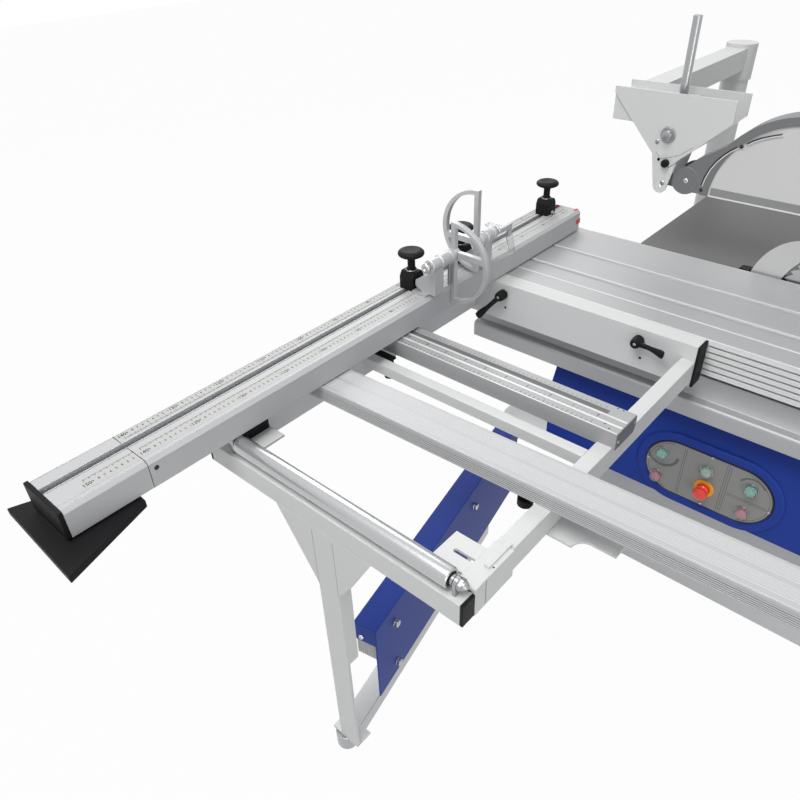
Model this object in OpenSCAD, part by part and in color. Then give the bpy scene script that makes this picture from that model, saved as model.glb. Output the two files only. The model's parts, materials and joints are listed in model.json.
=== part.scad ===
// Sliding table saw: panel saw with an outrigger frame, a cross fence and an overarm guard.
// X = 0 is the blade plane, Y = 0 the blade centre, Z = 0 the floor, +Y the feed direction.

/* [Working height] */
// Height of the table tops above the floor
table_z = 900; // [880:1:930]

/* [Sliding table] */
// Width of the sliding table
slide_w = 376; // [340:1:400]
// Length of the sliding table
slide_len = 2050; // [1900:10:2600]
// Rear end of the sliding table at rest
slide_rear = 820; // [800:1:900]
// Depth of the sliding table profile
slide_t = 82; // [78:1:86]
// Distance from the blade plane to the sliding table
slide_gap = 9; // [8:0.5:10]
// Width of the mouth of a T-slot
slot_mouth = 11; // [8:0.5:14]
// Wall of the aluminium profiles
wall = 4; // [3:0.5:5]

/* [Guide beam and trolley] */
// Length of the guide beam
beam_len = 1530; // [1300:10:1700]
// Width of the guide beam
beam_w = 190; // [180:1:196]
// Length of the trolley between the beam and the table
trolley_len = 900; // [700:10:1000]
// Radius of a trolley roller
trolley_roller_r = 18; // [16:0.5:19]

/* [Main table] */
// Width of the cast table
main_w = 560; // [520:5:600]
// Length of the cast table
main_len = 1018; // [960:2:1060]
// Thickness of the cast plate
plate_t = 12; // [10:0.5:14]
// Width of the extension table
ext_w = 540; // [400:10:600]

/* [Cabinet] */
// Height of the lower cabinet
base_h = 430; // [420:1:440]
// Width of the lower cabinet
base_w = 410; // [380:5:460]
// Length of the lower cabinet
base_len = 880; // [800:10:900]
// Length of the upper housing
housing_len = 1080; // [1060:10:1100]
// Sheet thickness of the cabinet
sheet_t = 3; // [2:0.5:4]
// Distance from the edges of the base to the anchor holes
anchor_inset = 30; // [25:1:35]
// Radius of an anchor hole
anchor_r = 7; // [5:0.5:8]

/* [Blade] */
// Radius of the main blade
blade_r = 157.5; // [140:0.5:158]
// Thickness of the main blade
blade_t = 3.2; // [2.8:0.1:3.6]
// Height of the blade above the table
blade_out = 100.5; // [90:0.5:101]
// Radius of the scoring blade
scoring_r = 60; // [50:0.5:62]
// Radius of the arbor shaft
arbor_r = 15; // [12:0.5:16]

/* [Outrigger] */
// Distance from the blade plane to the outer face of the outer tube
outer_x = 1231; // [1180:1:1280]
// Distance between the front and rear cross tubes
cross_pitch = 560; // [545:1:580]
// Width of a cross tube
cross_w = 30; // [26:1:34]
// Height of a cross tube
cross_h = 50; // [46:1:54]
// Width of the clamp beam
clamp_w = 41; // [36:1:44]
// Radius of the support roller
roller_r = 17; // [14:0.5:18]
// Width of the ribbed profile
profile_w = 82; // [76:1:86]
// Angle between the ribbed profile and the table, in degrees
profile_turn = 2.1; // [0:0.1:3]

/* [Swing arm] */
// Width of the swing arm
arm_w = 58; // [54:1:60]
// Height of the deep side plate of the swing arm
arm_side_h = 237; // [220:1:240]
// Length of the swing arm from its pivot
arm_len = 850; // [830:5:860]
// Length of the inner arm from the post pin
inner_len = 730; // [700:5:740]
// Radius of the pivot pins
pin_r = 12; // [10:0.5:13]

/* [Cross fence] */
// Depth of the fence from front to back
fence_d = 110; // [105:1:115]
// Height of the fence
fence_h = 54; // [52:0.5:60]
// Outer end of the fixed fence, left of the blade
fence_x = 1387; // [1340:1:1420]
// Length of the head of the fence extension
head_len = 143; // [120:1:160]
// Running gap under the fence
fence_gap = 3; // [2.5:0.5:4]

/* [Guard] */
// Width of the guard hood
hood_w = 64; // [60:1:70]
// Height of the lower edge of the hood above the table
hood_lift = 166; // [160:1:180]

/* [Fits] */
// Clearance of a shaft in its bore
run_c = 0.05; // [0.02:0.01:0.09]
// Gap between pieces that slide past each other
slip_c = 0.3; // [0.3:0.05:0.5]

/* [Hidden] */
$fn = 48;

// Places that follow from the sizes above
slide_x1 = -slide_gap;
slide_x0 = slide_x1 - slide_w;
slide_y0 = slide_rear - slide_len;
slot_depth = 14;
slot_lip = 5;
slot_w = 20;
slot_from_edge = [150, 259, 315];
beam_x0 = slide_x0 - 10;
beam_x1 = beam_x0 + beam_w;
beam_top = table_z - 100;
beam_z0 = table_z - 194;
beam_lip_h = 42;
channel_floor = beam_top - 35;
channel_x0 = beam_x0 + 45;
channel_x1 = beam_x1 - 20;
rail_t = 6;
rail_w = 14;
trolley_y = (slide_rear - slide_len / 2) / 2;
trolley_z = channel_floor + rail_t + slip_c + trolley_roller_r;
rail_x = [channel_x0 + 22, channel_x1 - 22];
upper_rail_z = trolley_z + trolley_roller_r + slip_c;
axle_pitch = trolley_len - 160;
axle_r = 6;

anchor_x = base_w - 2 * anchor_inset;
anchor_y = base_len - 2 * anchor_inset;
flange_w = 2 * anchor_inset;

main_x0 = slide_x1 + 4;
main_x1 = main_x0 + main_w;
ext_x0 = main_x1;
ext_x1 = ext_x0 + ext_w;
rim_h = 50;
gap_y0 = -310;
gap_y1 = 250;
insert_t = 8;
insert_x0 = 3;
insert_x1 = 22;

housing_x0 = -355;
housing_x1 = 330;
housing_top = table_z - 223;
fold_z = housing_top - 55;
opening_y = 370;
arm_top = base_h - 22;
arm_h = 53;
arm_low = arm_top - arm_side_h;
inner_top = arm_low - 4;
inner_h = 43;

panel_y = 106;
panel_z = base_h + 96;
panel_h = 148;
panel_len = 297;
panel_t = 5;
panel_x = housing_x0 - panel_t;

tilt_z = table_z;
ring_r0 = 330 + slip_c;
ring_r1 = 360;
ring_y0 = 340;
ring_y1 = 360;
blade_z = table_z + blade_out - blade_r;
rise_travel = 100;
rod_x = 40;
rod_y = 80;
rod_r = 12;
knife_t = 2.5;
carriage_z0 = tilt_z - 430;
carriage_z1 = carriage_z0 + 35;
motor_y = 200;
motor_z = table_z - 200;
motor_r = 72;
pulley_x0 = 95;
pulley_x1 = 125;
arbor_pulley_r = 34;
motor_pulley_r = 50;
belt_t = 6;
scoring_y = -230;
scoring_z = table_z + 2 - scoring_r;

outer_x0 = -outer_x;
outer_tube_w = 30;
outer_x1 = outer_x0 + outer_tube_w;
cross_y0 = 177;
cross_y1 = cross_y0 + cross_w;
rear_y0 = cross_y0 + cross_pitch;
rear_y1 = rear_y0 + cross_w;
cross_top = table_z - 34;
cross_z0 = cross_top - cross_h;
clamp_x0 = slide_x0 - clamp_w;
frame_y0 = cross_y0 - 5;
clamp_y1 = 790;
cap_t = 6;
outer_z1 = table_z - 38;
outer_z0 = outer_z1 - 45;
roller_x = (outer_x0 + outer_x1) / 2 + 3;
roller_z = table_z - roller_r;
roller_y0 = 206;
roller_y1 = 687;
shaft_r = 6;
post_x = (outer_x0 + outer_x1) / 2;
post_y = 467;
post_w = 50;
post_d = 31;
post_z0 = base_h + 41;
foot_t = 8;
lug_z0 = inner_top + slip_c + 6;
arm_pivot_x = -285;
arm_pivot_y = housing_len / 2 + 145;
arm_pin_y = 491;
arm_angle = atan2(arm_pivot_y - arm_pin_y, arm_pivot_x - post_x);

fence_y0 = 684;
fence_y1 = fence_y0 + fence_d;
fence_z0 = table_z + fence_gap;
fence_z1 = fence_z0 + fence_h;
fence_x1 = -27;
fence_slot_y = 750.5;
fence_slot_w = 13;
fence_pivot_x = -101;
fence_pivot_y = fence_slot_y;
fence_pin_r = 8;
inner_fence_h = fence_h - 21;
stop_1_x = -660;
stop_2_x = -480;
stop_y = fence_slot_y - 19;
block_w = 40;
block_h = 43;
knob_stud_r = 4;
flag_y = fence_y0 - 7;
flag_z = fence_z1 + 79;
flag_1_x = -600;
flag_2_x = -520;
flag_t = 12;
barrel_r = 15;

hood_z = table_z + hood_lift;
hood_arc_r = 187;
hood_rear_y = 170;
hood_front_y = -60;
hood_band = 18;
nose_y = 420;
nose_r = 27;
guide_y = 471;
guide_r = 10;
boom_z = table_z + 340;
boom_size = 60;
post_cx = 700;
post_cy = 590;
mast_r = 40;

// A box given by its low and high corners
module span(x0, x1, y0, y1, z0, z1) {
    translate([x0, y0, z0]) cube([x1 - x0, y1 - y0, z1 - z0]);
}

// Cylinders along the three axes
module rod_along_x(x0, x1, y, z, r) {
    translate([x0, y, z]) rotate([0, 90, 0]) cylinder(h = x1 - x0, r = r);
}
module rod_along_y(x, y0, y1, z, r) {
    translate([x, y1, z]) rotate([90, 0, 0]) cylinder(h = y1 - y0, r = r);
}
module rod_along_z(x, y, z0, z1, r) {
    translate([x, y, z0]) cylinder(h = z1 - z0, r = r);
}

// A section drawn in X and Z, drawn out along Y
module along_y(y0, y1) {
    translate([0, y1, 0]) rotate([90, 0, 0]) linear_extrude(y1 - y0) children();
}

// A section drawn in Y and Z, drawn out along X
module along_x(x0, x1) {
    translate([x0, 0, 0]) rotate([90, 0, 90]) linear_extrude(x1 - x0) children();
}

// A square tube along Y, hollow and open at both ends
module tube_y(x0, x1, y0, y1, z0, z1, t) {
    difference() {
        span(x0, x1, y0, y1, z0, z1);
        span(x0 + t, x1 - t, y0 - 1, y1 + 1, z0 + t, z1 - t);
    }
}

// A square tube along X, hollow and open at both ends
module tube_x(x0, x1, y0, y1, z0, z1, t) {
    difference() {
        span(x0, x1, y0, y1, z0, z1);
        span(x0 - 1, x1 + 1, y0 + t, y1 - t, z0 + t, z1 - t);
    }
}

// The base: a closed steel box with an inward flange that takes the anchor bolts
module lower_cabinet() {
    flange_t = 8;
    color([0.79, 0.80, 0.80])
    difference() {
        span(-base_w / 2, base_w / 2, -base_len / 2, base_len / 2, 0, base_h);
        span(-base_w / 2 + sheet_t, base_w / 2 - sheet_t, -base_len / 2 + sheet_t, base_len / 2 - sheet_t,
            flange_t, base_h - sheet_t);
        span(-base_w / 2 + flange_w, base_w / 2 - flange_w, -base_len / 2 + flange_w, base_len / 2 - flange_w,
            -1, flange_t + 1);
        for (sx = [-1, 1], sy = [-1, 1]) {
            rod_along_z(sx * anchor_x / 2, sy * anchor_y / 2, -1, flange_t + 1, anchor_r);
        }
    }
}

// Section of the upper housing, folded inward under the guide beam
module housing_section(inset) {
    polygon([
        [housing_x0 + inset, base_h + inset], [housing_x0 + inset, fold_z],
        [housing_x0 + 25 + inset, housing_top - inset], [housing_x1 - inset, housing_top - inset],
        [housing_x1 - inset, base_h + inset]
    ]);
}

// The housing round the saw unit, open on top for the blade
module upper_housing() {
    half = housing_len / 2;
    color([0.13, 0.21, 0.52])
    difference() {
        along_y(-half, half) housing_section(0);
        along_y(-half + sheet_t, half - sheet_t) housing_section(sheet_t);
        span(-280, 300, -opening_y, opening_y, housing_top - 2 * sheet_t, housing_top + 1);
        rod_along_y(100, half - 10, half + 10, base_h + 90, 60);
    }
    color([0.13, 0.21, 0.52])
    difference() {
        rod_along_y(100, half, half + 50, base_h + 90, 64);
        rod_along_y(100, half - 1, half + 51, base_h + 90, 60);
    }
}

// Rounded plate of the controls, in Y and Z
module stadium(length, height) {
    for (s = [-1, 1]) {
        translate([s * (length - height) / 2, 0]) circle(d = height);
    }
    square([length - height, height], center = true);
}

// Places of the controls on the panel: along Y, up Z, radius
controls = [[112, 32, 12], [115, -41, 12], [4, 31, 12], [-97, 30, 12], [-94, -41, 12], [1, -22, 17]];
button_c = 0.4;

module control_panel() {
    color([0.51, 0.51, 0.49])
    translate([0, panel_y, panel_z])
    difference() {
        along_x(panel_x, housing_x0) stadium(panel_len, panel_h);
        for (c = controls) {
            rod_along_x(panel_x - 1, housing_x0 + 1, c[0], c[1], c[2] - 3 + button_c);
        }
    }
}

// A push button: a cap in front of the plate on a stem that slides in it
module push_button(i, cap_t) {
    c = controls[i];
    gap = 4;
    stem_end = housing_x0 - gap;
    translate([0, panel_y, panel_z]) {
        rod_along_x(panel_x - gap - cap_t, panel_x - gap, c[0], c[1], c[2]);
        rod_along_x(panel_x - gap, stem_end, c[0], c[1], c[2] - 3);
    }
}
module start_button_1() {
    color([0.39, 0.67, 0.61]) push_button(0, 5);
}
module stop_button_1() {
    color([0.75, 0.39, 0.47]) push_button(1, 5);
}
module pilot_button() {
    color([0.62, 0.72, 0.68]) push_button(2, 5);
}
module start_button_2() {
    color([0.39, 0.67, 0.61]) push_button(3, 5);
}
module stop_button_2() {
    color([0.75, 0.39, 0.47]) push_button(4, 5);
}
module emergency_stop() {
    color([0.92, 0.24, 0.18]) push_button(5, 26);
}

// Cast table with a rim, ribs and a gap beside the blade
module main_table() {
    half = main_len / 2;
    low = table_z - rim_h;
    color([0.38, 0.39, 0.39])
    difference() {
        span(main_x0, main_x1, -half, half, low, table_z);
        span(main_x0 + plate_t, main_x1 - plate_t, -half + plate_t, half - plate_t, low - 1,
            table_z - plate_t);
        span(main_x0 - 1, main_x0 + plate_t + 1, -opening_y + 30, opening_y - 30, low - 1, table_z - plate_t);
        span(main_x0 - 1, insert_x1, gap_y0, gap_y1, table_z - insert_t, table_z + 1);
        span(main_x0 - 1, insert_x0 + 9, gap_y0, gap_y1, table_z - plate_t - 1, table_z - insert_t + 1);
    }
    for (y = [-opening_y, opening_y - 12]) {
        color([0.38, 0.39, 0.39])
        span(main_x0 + plate_t, main_x1 - plate_t, y, y + 12, low + 10, table_z - plate_t);
    }
}

// Black strip beside the blade, set into the cast table
module table_insert() {
    seat = table_z - insert_t;
    nose_w = insert_x1 - main_x0;
    color([0.12, 0.12, 0.12])
    difference() {
        union() {
            span(main_x0, insert_x1, gap_y0, gap_y1 - nose_w / 2, seat, table_z);
            rod_along_z(main_x0 + nose_w / 2, gap_y1 - nose_w / 2, seat, table_z, nose_w / 2);
        }
        span(main_x0 - 1, insert_x0, -300, 228, seat - 1, table_z + 1);
    }
}

// Cast blocks between the housing, the guide beam and the cast table
module support_blocks() {
    block_y = 450;
    half_w = 30;
    cast_x0 = main_x0 + 45;
    cast_x1 = housing_x1 - 10;
    color([0.30, 0.31, 0.32])
    for (y = [-block_y, block_y]) {
        span(beam_x0 + 60, beam_x1 - 10, y - half_w, y + half_w, housing_top, beam_z0);
        tube_x(cast_x0, cast_x1, y - half_w, y + half_w, housing_top, table_z - rim_h, 10);
        tube_x(main_x0 + plate_t, cast_x1, y - half_w, y + half_w, table_z - rim_h, table_z - plate_t, 8);
    }
}

// Steel extension table with folded edges, and the leg that carries it
module extension_table() {
    half = main_len / 2;
    leg_x = ext_x1 - 60;
    color([0.80, 0.81, 0.81])
    difference() {
        span(ext_x0, ext_x1, -half, half, table_z - 40, table_z);
        span(ext_x0 + sheet_t, ext_x1 - sheet_t, -half + sheet_t, half - sheet_t, table_z - 41,
            table_z - sheet_t);
    }
    color([0.30, 0.31, 0.32]) {
        tube_y(leg_x - 25, leg_x + 25, -half + sheet_t, half - sheet_t, table_z - 40, table_z - sheet_t, 3);
        difference() {
            span(leg_x - 25, leg_x + 25, -25, 25, 12, table_z - 40);
            span(leg_x - 22, leg_x + 22, -22, 22, 11, table_z - 39);
        }
        rod_along_z(leg_x, 0, 0, 12, 45);
    }
}

// Fixed aluminium beam with a rounded lip, a trolley channel and two steel rails
module guide_beam() {
    lip_r = 9;
    color([0.78, 0.79, 0.80])
    along_y(-beam_len / 2, beam_len / 2)
    difference() {
        union() {
            translate([beam_x0 + lip_r, beam_z0 + beam_lip_h - lip_r]) circle(r = lip_r);
            polygon([
                [beam_x0, beam_z0], [beam_x0, beam_z0 + beam_lip_h - lip_r],
                [beam_x0 + lip_r, beam_z0 + beam_lip_h], [beam_x0 + 20, beam_z0 + beam_lip_h + 3],
                [beam_x0 + 27, beam_z0 + beam_lip_h + 14], [beam_x0 + 30, beam_z0 + beam_lip_h + 26],
                [beam_x0 + 30, beam_top], [beam_x1, beam_top], [beam_x1, beam_z0]
            ]);
        }
        polygon([
            [channel_x0, beam_top + 1], [channel_x0, channel_floor], [channel_x1, channel_floor],
            [channel_x1, beam_top + 1]
        ]);
        translate([beam_x0 + 30 + wall, beam_z0 + wall])
            square([beam_w / 2 - 30 - 1.5 * wall, channel_floor - beam_z0 - 2 * wall]);
        translate([beam_x0 + beam_w / 2 + wall / 2, beam_z0 + wall])
            square([beam_w / 2 - 1.5 * wall, channel_floor - beam_z0 - 2 * wall]);
    }
    color([0.65, 0.66, 0.67])
    for (x = rail_x) {
        span(x - rail_w / 2, x + rail_w / 2, -beam_len / 2, beam_len / 2, channel_floor,
            channel_floor + rail_t);
    }
}

// Fork on the back of the housing that holds the pivot of the swing arm
module arm_bracket() {
    lug_r = 31;
    lug_t = 8;
    wall_y = housing_len / 2;
    low = arm_top - arm_h - 14;
    high = arm_top + 2;
    web_x = arm_pivot_x + lug_r;
    color([0.80, 0.81, 0.81])
    difference() {
        union() {
            span(arm_pivot_x - 50, arm_pivot_x + 50, wall_y, wall_y + lug_t, high, base_h + 120);
            span(arm_pivot_x - lug_r, web_x, wall_y, arm_pivot_y, high, high + lug_t);
            for (z = [high, low]) {
                rod_along_z(arm_pivot_x, arm_pivot_y, z, z + lug_t, lug_r);
                span(arm_pivot_x, web_x + lug_t, arm_pivot_y - lug_r, arm_pivot_y + lug_r, z, z + lug_t);
            }
            span(web_x, web_x + lug_t, arm_pivot_y - lug_r, arm_pivot_y + lug_r, low, high + lug_t);
        }
        rod_along_z(arm_pivot_x, arm_pivot_y, low - 1, high + lug_t + 1, pin_r + run_c);
    }
    color([0.55, 0.56, 0.57])
    rod_along_z(arm_pivot_x, arm_pivot_y, low, high + lug_t, pin_r);
}

// Round rail for the rip fence, on brackets along the front of the tables
rail_y = -main_len / 2 - 52;
rail_z = table_z - 42;
rail_r = 20;
module rip_rail() {
    color([0.72, 0.73, 0.74])
    rod_along_x(main_x0 + 20, ext_x1, rail_y, rail_z, rail_r);
    color([0.30, 0.31, 0.32])
    for (x = [main_x0 + 60, main_x1 - 60, ext_x1 - 80]) {
        span(x - 15, x + 15, rail_y + rail_r, -main_len / 2, rail_z - 12, rail_z + 4);
    }
}

// Mast of the guard, with its foot and the stub that the boom turns on
module guard_post() {
    stub_r = 22;
    color([0.80, 0.81, 0.81]) {
        span(post_cx - 100, post_cx + 100, post_cy - 70, post_cy + 100, 0, 10);
        difference() {
            rod_along_z(post_cx, post_cy, 10, boom_z - 60, mast_r);
            rod_along_z(post_cx, post_cy, 11, boom_z - 70, mast_r - 4);
        }
        rod_along_z(post_cx, post_cy, boom_z - 60, boom_z + 30, stub_r);
        span(post_cx - 30, post_cx + 30, main_len / 2, post_cy - mast_r + 1, table_z - 38, table_z - 10);
    }
}

// Ring segments that the tilt carriage swings in, with the axis in the table surface
module ring_sector(r0, r1, a0, a1) {
    intersection() {
        difference() {
            circle(r = r1, $fn = 96);
            circle(r = r0, $fn = 96);
        }
        polygon([
            [0, 0],
            for (i = [0:4]) let (a = a0 + (a1 - a0) * i / 4) 2 * r1 * [cos(a), sin(a)]
        ]);
    }
}
module trunnions() {
    foot_x0 = 140;
    foot_x1 = 200;
    foot_top = tilt_z - sqrt(ring_r1 * ring_r1 - foot_x0 * foot_x0) + 1;
    arc_from = -140;
    arc_to = -48;
    color([0.30, 0.31, 0.32])
    for (s = [-1, 1]) {
        y0 = s > 0 ? ring_y0 : -ring_y1;
        y1 = y0 + ring_y1 - ring_y0;
        translate([0, 0, tilt_z]) along_y(y0, y1) ring_sector(ring_r0, ring_r1, arc_from, arc_to);
        for (x = [-foot_x1, foot_x0]) {
            span(x, x + foot_x1 - foot_x0, y0, y1, base_h + sheet_t, foot_top);
        }
    }
}

// Section of the sliding table: hollow, with T-slots and a slanted underside by the blade
module slide_section() {
    top = table_z;
    low = table_z - slide_t;
    lip = 4;
    lip_w = 30;
    slant = slide_t - lip;
    in_top = top - slot_depth - 2 - wall;
    in_x1 = slide_x1 - lip_w - slant - wall;
    rise = in_top - low - wall;
    difference() {
        polygon([
            [slide_x0, low], [slide_x0, top], [slide_x1, top], [slide_x1, top - lip],
            [slide_x1 - lip_w, top - lip], [slide_x1 - lip_w - slant, low]
        ]);
        for (d = slot_from_edge) {
            translate([slide_x1 - d - slot_mouth / 2, top - slot_depth]) square([slot_mouth, slot_depth + 1]);
            translate([slide_x1 - d - slot_w / 2, top - slot_depth]) square([slot_w, slot_depth - slot_lip]);
        }
        for (i = [0:4]) {
            translate([slide_x0 - 1, low + 12 + 14 * i]) square([3, 3]);
        }
        translate([slide_x0 + wall + 2, low + wall]) square([80, rise]);
        translate([slide_x0 + 2 * wall + 82, low + wall]) square([80, rise]);
        polygon([
            [slide_x0 + 3 * wall + 162, low + wall], [in_x1, low + wall], [in_x1 + rise, in_top],
            [slide_x0 + 3 * wall + 162, in_top]
        ]);
    }
}
module sliding_table() {
    color([0.72, 0.72, 0.72])
    difference() {
        along_y(slide_y0, slide_rear) slide_section();
        rod_along_z(fence_pivot_x, fence_pivot_y, table_z - 14, table_z + 1, fence_pin_r + run_c);
    }
    color([0.65, 0.66, 0.67])
    for (x = rail_x) {
        span(x - rail_w / 2, x + rail_w / 2, slide_y0, slide_rear, upper_rail_z, table_z - slide_t);
    }
}

// End caps of the sliding table and the bow handle that pushes it
module table_fittings() {
    cap_t = 8;
    grip_y = slide_y0 - 60;
    grip_z = table_z - 41;
    color([0.16, 0.16, 0.17]) {
        for (y = [slide_y0 - cap_t, slide_rear]) {
            along_y(y, y + cap_t) polygon([
                [slide_x0, table_z - slide_t], [slide_x0, table_z - 1], [slide_x1, table_z - 1],
                [slide_x1, table_z - 5], [slide_x1 - 30, table_z - 5],
                [slide_x1 - 26 - slide_t, table_z - slide_t]
            ]);
        }
        rod_along_x(slide_x0 + 60, slide_x0 + 240, grip_y, grip_z, 12);
        for (x = [slide_x0 + 72, slide_x0 + 228]) {
            rod_along_y(x, grip_y, slide_y0 - cap_t, grip_z, 10);
        }
    }
}

// Trolley between the beam and the table: two bars and the cross plates that carry the axles
module trolley_frame() {
    y0 = trolley_y - trolley_len / 2;
    y1 = trolley_y + trolley_len / 2;
    color([0.45, 0.46, 0.47])
    difference() {
        union() {
            for (x = [channel_x0 + 3, channel_x1 - 13]) {
                span(x, x + 10, y0, y1, trolley_z - 14, trolley_z + 14);
            }
            for (y = [y0, trolley_y - 20, y1 - 40]) {
                span(channel_x0 + 13, channel_x1 - 13, y, y + 40, trolley_z - 10, trolley_z + 10);
            }
        }
        for (s = [-1, 1]) {
            rod_along_x(channel_x0, channel_x1, trolley_y + s * axle_pitch / 2, trolley_z, axle_r + run_c);
        }
    }
}

// An axle with its two rollers
module roller_pair(y) {
    color([0.62, 0.63, 0.64]) {
        rod_along_x(channel_x0 + 4, channel_x1 - 4, y, trolley_z, axle_r);
        for (x = rail_x) {
            rod_along_x(x - 6, x + 6, y, trolley_z, trolley_roller_r);
        }
    }
}
module trolley_rollers_front() {
    roller_pair(trolley_y - axle_pitch / 2);
}
module trolley_rollers_rear() {
    roller_pair(trolley_y + axle_pitch / 2);
}

// Beam that is clamped to the side of the sliding table
lever_y = [656, 302];
lever_z = table_z - 26;
lever_stud_r = 5;
module clamp_beam() {
    color([0.79, 0.80, 0.80])
    difference() {
        tube_y(clamp_x0, slide_x0, frame_y0 + cap_t, clamp_y1, table_z - 98, table_z, wall);
        for (y = lever_y) {
            rod_along_x(clamp_x0 - 1, clamp_x0 + wall + 1, y, lever_z, lever_stud_r + run_c);
        }
    }
}

// The two cross tubes of the outrigger and the socket round the front one
module cross_tubes() {
    socket = 4;
    socket_x1 = outer_x1 + 100;
    color([0.79, 0.80, 0.80]) {
        tube_x(outer_x1, clamp_x0, cross_y0, cross_y1, cross_z0, cross_top, 3);
        tube_x(outer_x1, clamp_x0, rear_y0, rear_y1, cross_z0, cross_top, 3);
        difference() {
            span(outer_x1, socket_x1, cross_y0 - socket, cross_y1, cross_z0 - socket, cross_top + socket);
            span(outer_x1 - 1, socket_x1 + 1, cross_y0, cross_y1 + 1, cross_z0, cross_top);
        }
    }
}

// Tube along the outer side of the outrigger
module outer_tube() {
    color([0.79, 0.80, 0.80])
    tube_y(outer_x0, outer_x1, frame_y0 + cap_t, rear_y1 - cap_t, outer_z0, outer_z1, 3);
}

// Black plastic caps on the open tube ends
module black_caps() {
    color([0.16, 0.16, 0.17]) {
        span(outer_x0, outer_x1, frame_y0, frame_y0 + cap_t, outer_z0, outer_z1);
        span(outer_x0, outer_x1, rear_y1 - cap_t, rear_y1, outer_z0, outer_z1);
        span(clamp_x0, slide_x0, frame_y0, frame_y0 + cap_t, table_z - 98, table_z);
        span(clamp_x0, slide_x0, clamp_y1, clamp_y1 + cap_t, table_z - 98, table_z);
    }
}

// Post under the outer tube with its gussets, and the foot that holds the pin of the inner arm
module support_post() {
    gusset_t = 5;
    tube_t = 3;
    x1 = outer_x0 + post_d;
    y0 = post_y - post_w / 2;
    y1 = post_y + post_w / 2;
    color([0.79, 0.80, 0.80]) {
        difference() {
            span(outer_x0, x1, y0, y1, post_z0, outer_z0);
            span(outer_x0 + tube_t, x1 - tube_t, y0 + tube_t, y1 - tube_t, post_z0 - 1, outer_z0 - tube_t);
        }
        along_x(outer_x0, outer_x0 + gusset_t) polygon([
            [y0, outer_z0 - 145], [y0 - 34, outer_z0 - 97], [y0 - 88, outer_z0], [y1 + 90, outer_z0],
            [y1, outer_z0 - 145]
        ]);
        span(outer_x0, x1, y0, y1, post_z0 - foot_t, post_z0);
        span(outer_x0, outer_x0 + foot_t, y0, y1, lug_z0, post_z0 - foot_t);
        span(outer_x0, x1 + 10, y0, y1 + 25, lug_z0 - foot_t + 2, lug_z0);
        rod_along_z(post_x, arm_pin_y, inner_top - inner_h - 4, lug_z0 - foot_t + 2, pin_r);
    }
}

// Shaft of the support roller with its brackets and nuts
module roller_mounts() {
    bracket_t = 6;
    color([0.60, 0.61, 0.62]) {
        rod_along_y(roller_x, roller_y0 - 26, roller_y1 + 26, roller_z, shaft_r);
        for (y = [roller_y0 - 14, roller_y1 + 8]) {
            difference() {
                span(roller_x - 10, roller_x + 10, y, y + bracket_t, outer_z1, roller_z + 10);
                rod_along_y(roller_x, y - 1, y + bracket_t + 1, roller_z, shaft_r + run_c);
            }
        }
        for (y = [roller_y0 - 22, roller_y1 + 14]) {
            difference() {
                translate([roller_x, y + 8, roller_z]) rotate([90, 30, 0]) cylinder(h = 8, r = 11, $fn = 6);
                rod_along_y(roller_x, y - 1, y + 9, roller_z, shaft_r + run_c);
            }
        }
    }
}

// Bright steel roller that carries the work over the outrigger
module support_roller() {
    color([0.85, 0.86, 0.87])
    difference() {
        rod_along_y(roller_x, roller_y0, roller_y1, roller_z, roller_r);
        rod_along_y(roller_x, roller_y0 - 1, roller_y1 + 1, roller_z, shaft_r + run_c);
    }
}

// Small plates of the outrigger: slotted stop plate, corner plate with its clip, plate of the profile
profile_x0 = -992;
bar_x0 = -788;
bar_w = 76;
bar_foot_x = bar_x0 - 16;
module outrigger_plates() {
    plate = 5;
    slot_r = 4;
    hollow_r = 24;
    plate_x1 = profile_x0 + profile_w + 4;
    color([0.80, 0.81, 0.81]) {
        difference() {
            span(outer_x1 + 17, outer_x1 + 79, cross_y1, cross_y1 + 60, cross_top - plate, cross_top);
            hull() {
                for (y = [cross_y1 + 5, cross_y1 + 36]) {
                    rod_along_z(outer_x1 + 46, y, cross_top - plate - 1, cross_top + 1, slot_r);
                }
            }
        }
        span(outer_x1, outer_x1 + 70, rear_y0 - 73, rear_y0, cross_top - plate, cross_top);
        difference() {
            span(profile_x0 - 1, plate_x1, cross_y0 - 110, cross_y1, cross_z0 - plate, cross_z0);
            rod_along_z(profile_x0, cross_y0 - 68, cross_z0 - plate - 1, cross_z0 + 1, hollow_r);
            span(profile_x0 - 2, profile_x0 + hollow_r, cross_y0 - 111, cross_y0 - 68, cross_z0 - plate - 1,
                cross_z0 + 1);
        }
    }
    color([0.16, 0.16, 0.17]) {
        span(outer_x1 + 18, outer_x1 + 67, rear_y0 - 34, rear_y0 - 14, cross_top, fence_z0 - slip_c);
        rod_along_z(profile_x0 + 22, cross_y1 + 30, cross_top - 36, cross_top - 22, 14);
        rod_along_z(profile_x0 + 22, cross_y1 + 30, cross_top - 22, cross_top, 5);
        span(bar_foot_x - 11, bar_foot_x + 11, rear_y0 - 52, rear_y0, cross_top - 9, cross_top - 4);
        rod_along_z(bar_foot_x, rear_y0 - 40, cross_top - 54, cross_top - 9, 11);
    }
}

// Mitre scale bar, notched over the cross tubes
module mitre_bar() {
    low = table_z - 38;
    color([0.80, 0.81, 0.81])
    difference() {
        span(bar_x0, bar_x0 + bar_w, frame_y0, rear_y1, low, table_z - 2);
        span(bar_x0 + wall, bar_x0 + bar_w - wall, cross_y0 + 3, rear_y1 + 1, low - 1, table_z - 10);
        span(bar_x0 + 46, bar_x0 + 58, cross_y0 + 38, rear_y0 - 30, table_z - 11, table_z);
        for (y = [cross_y0, rear_y0]) {
            span(bar_x0 - 1, bar_x0 + bar_w + 1, y, y + cross_w, low - 1, cross_top);
        }
    }
}

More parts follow.
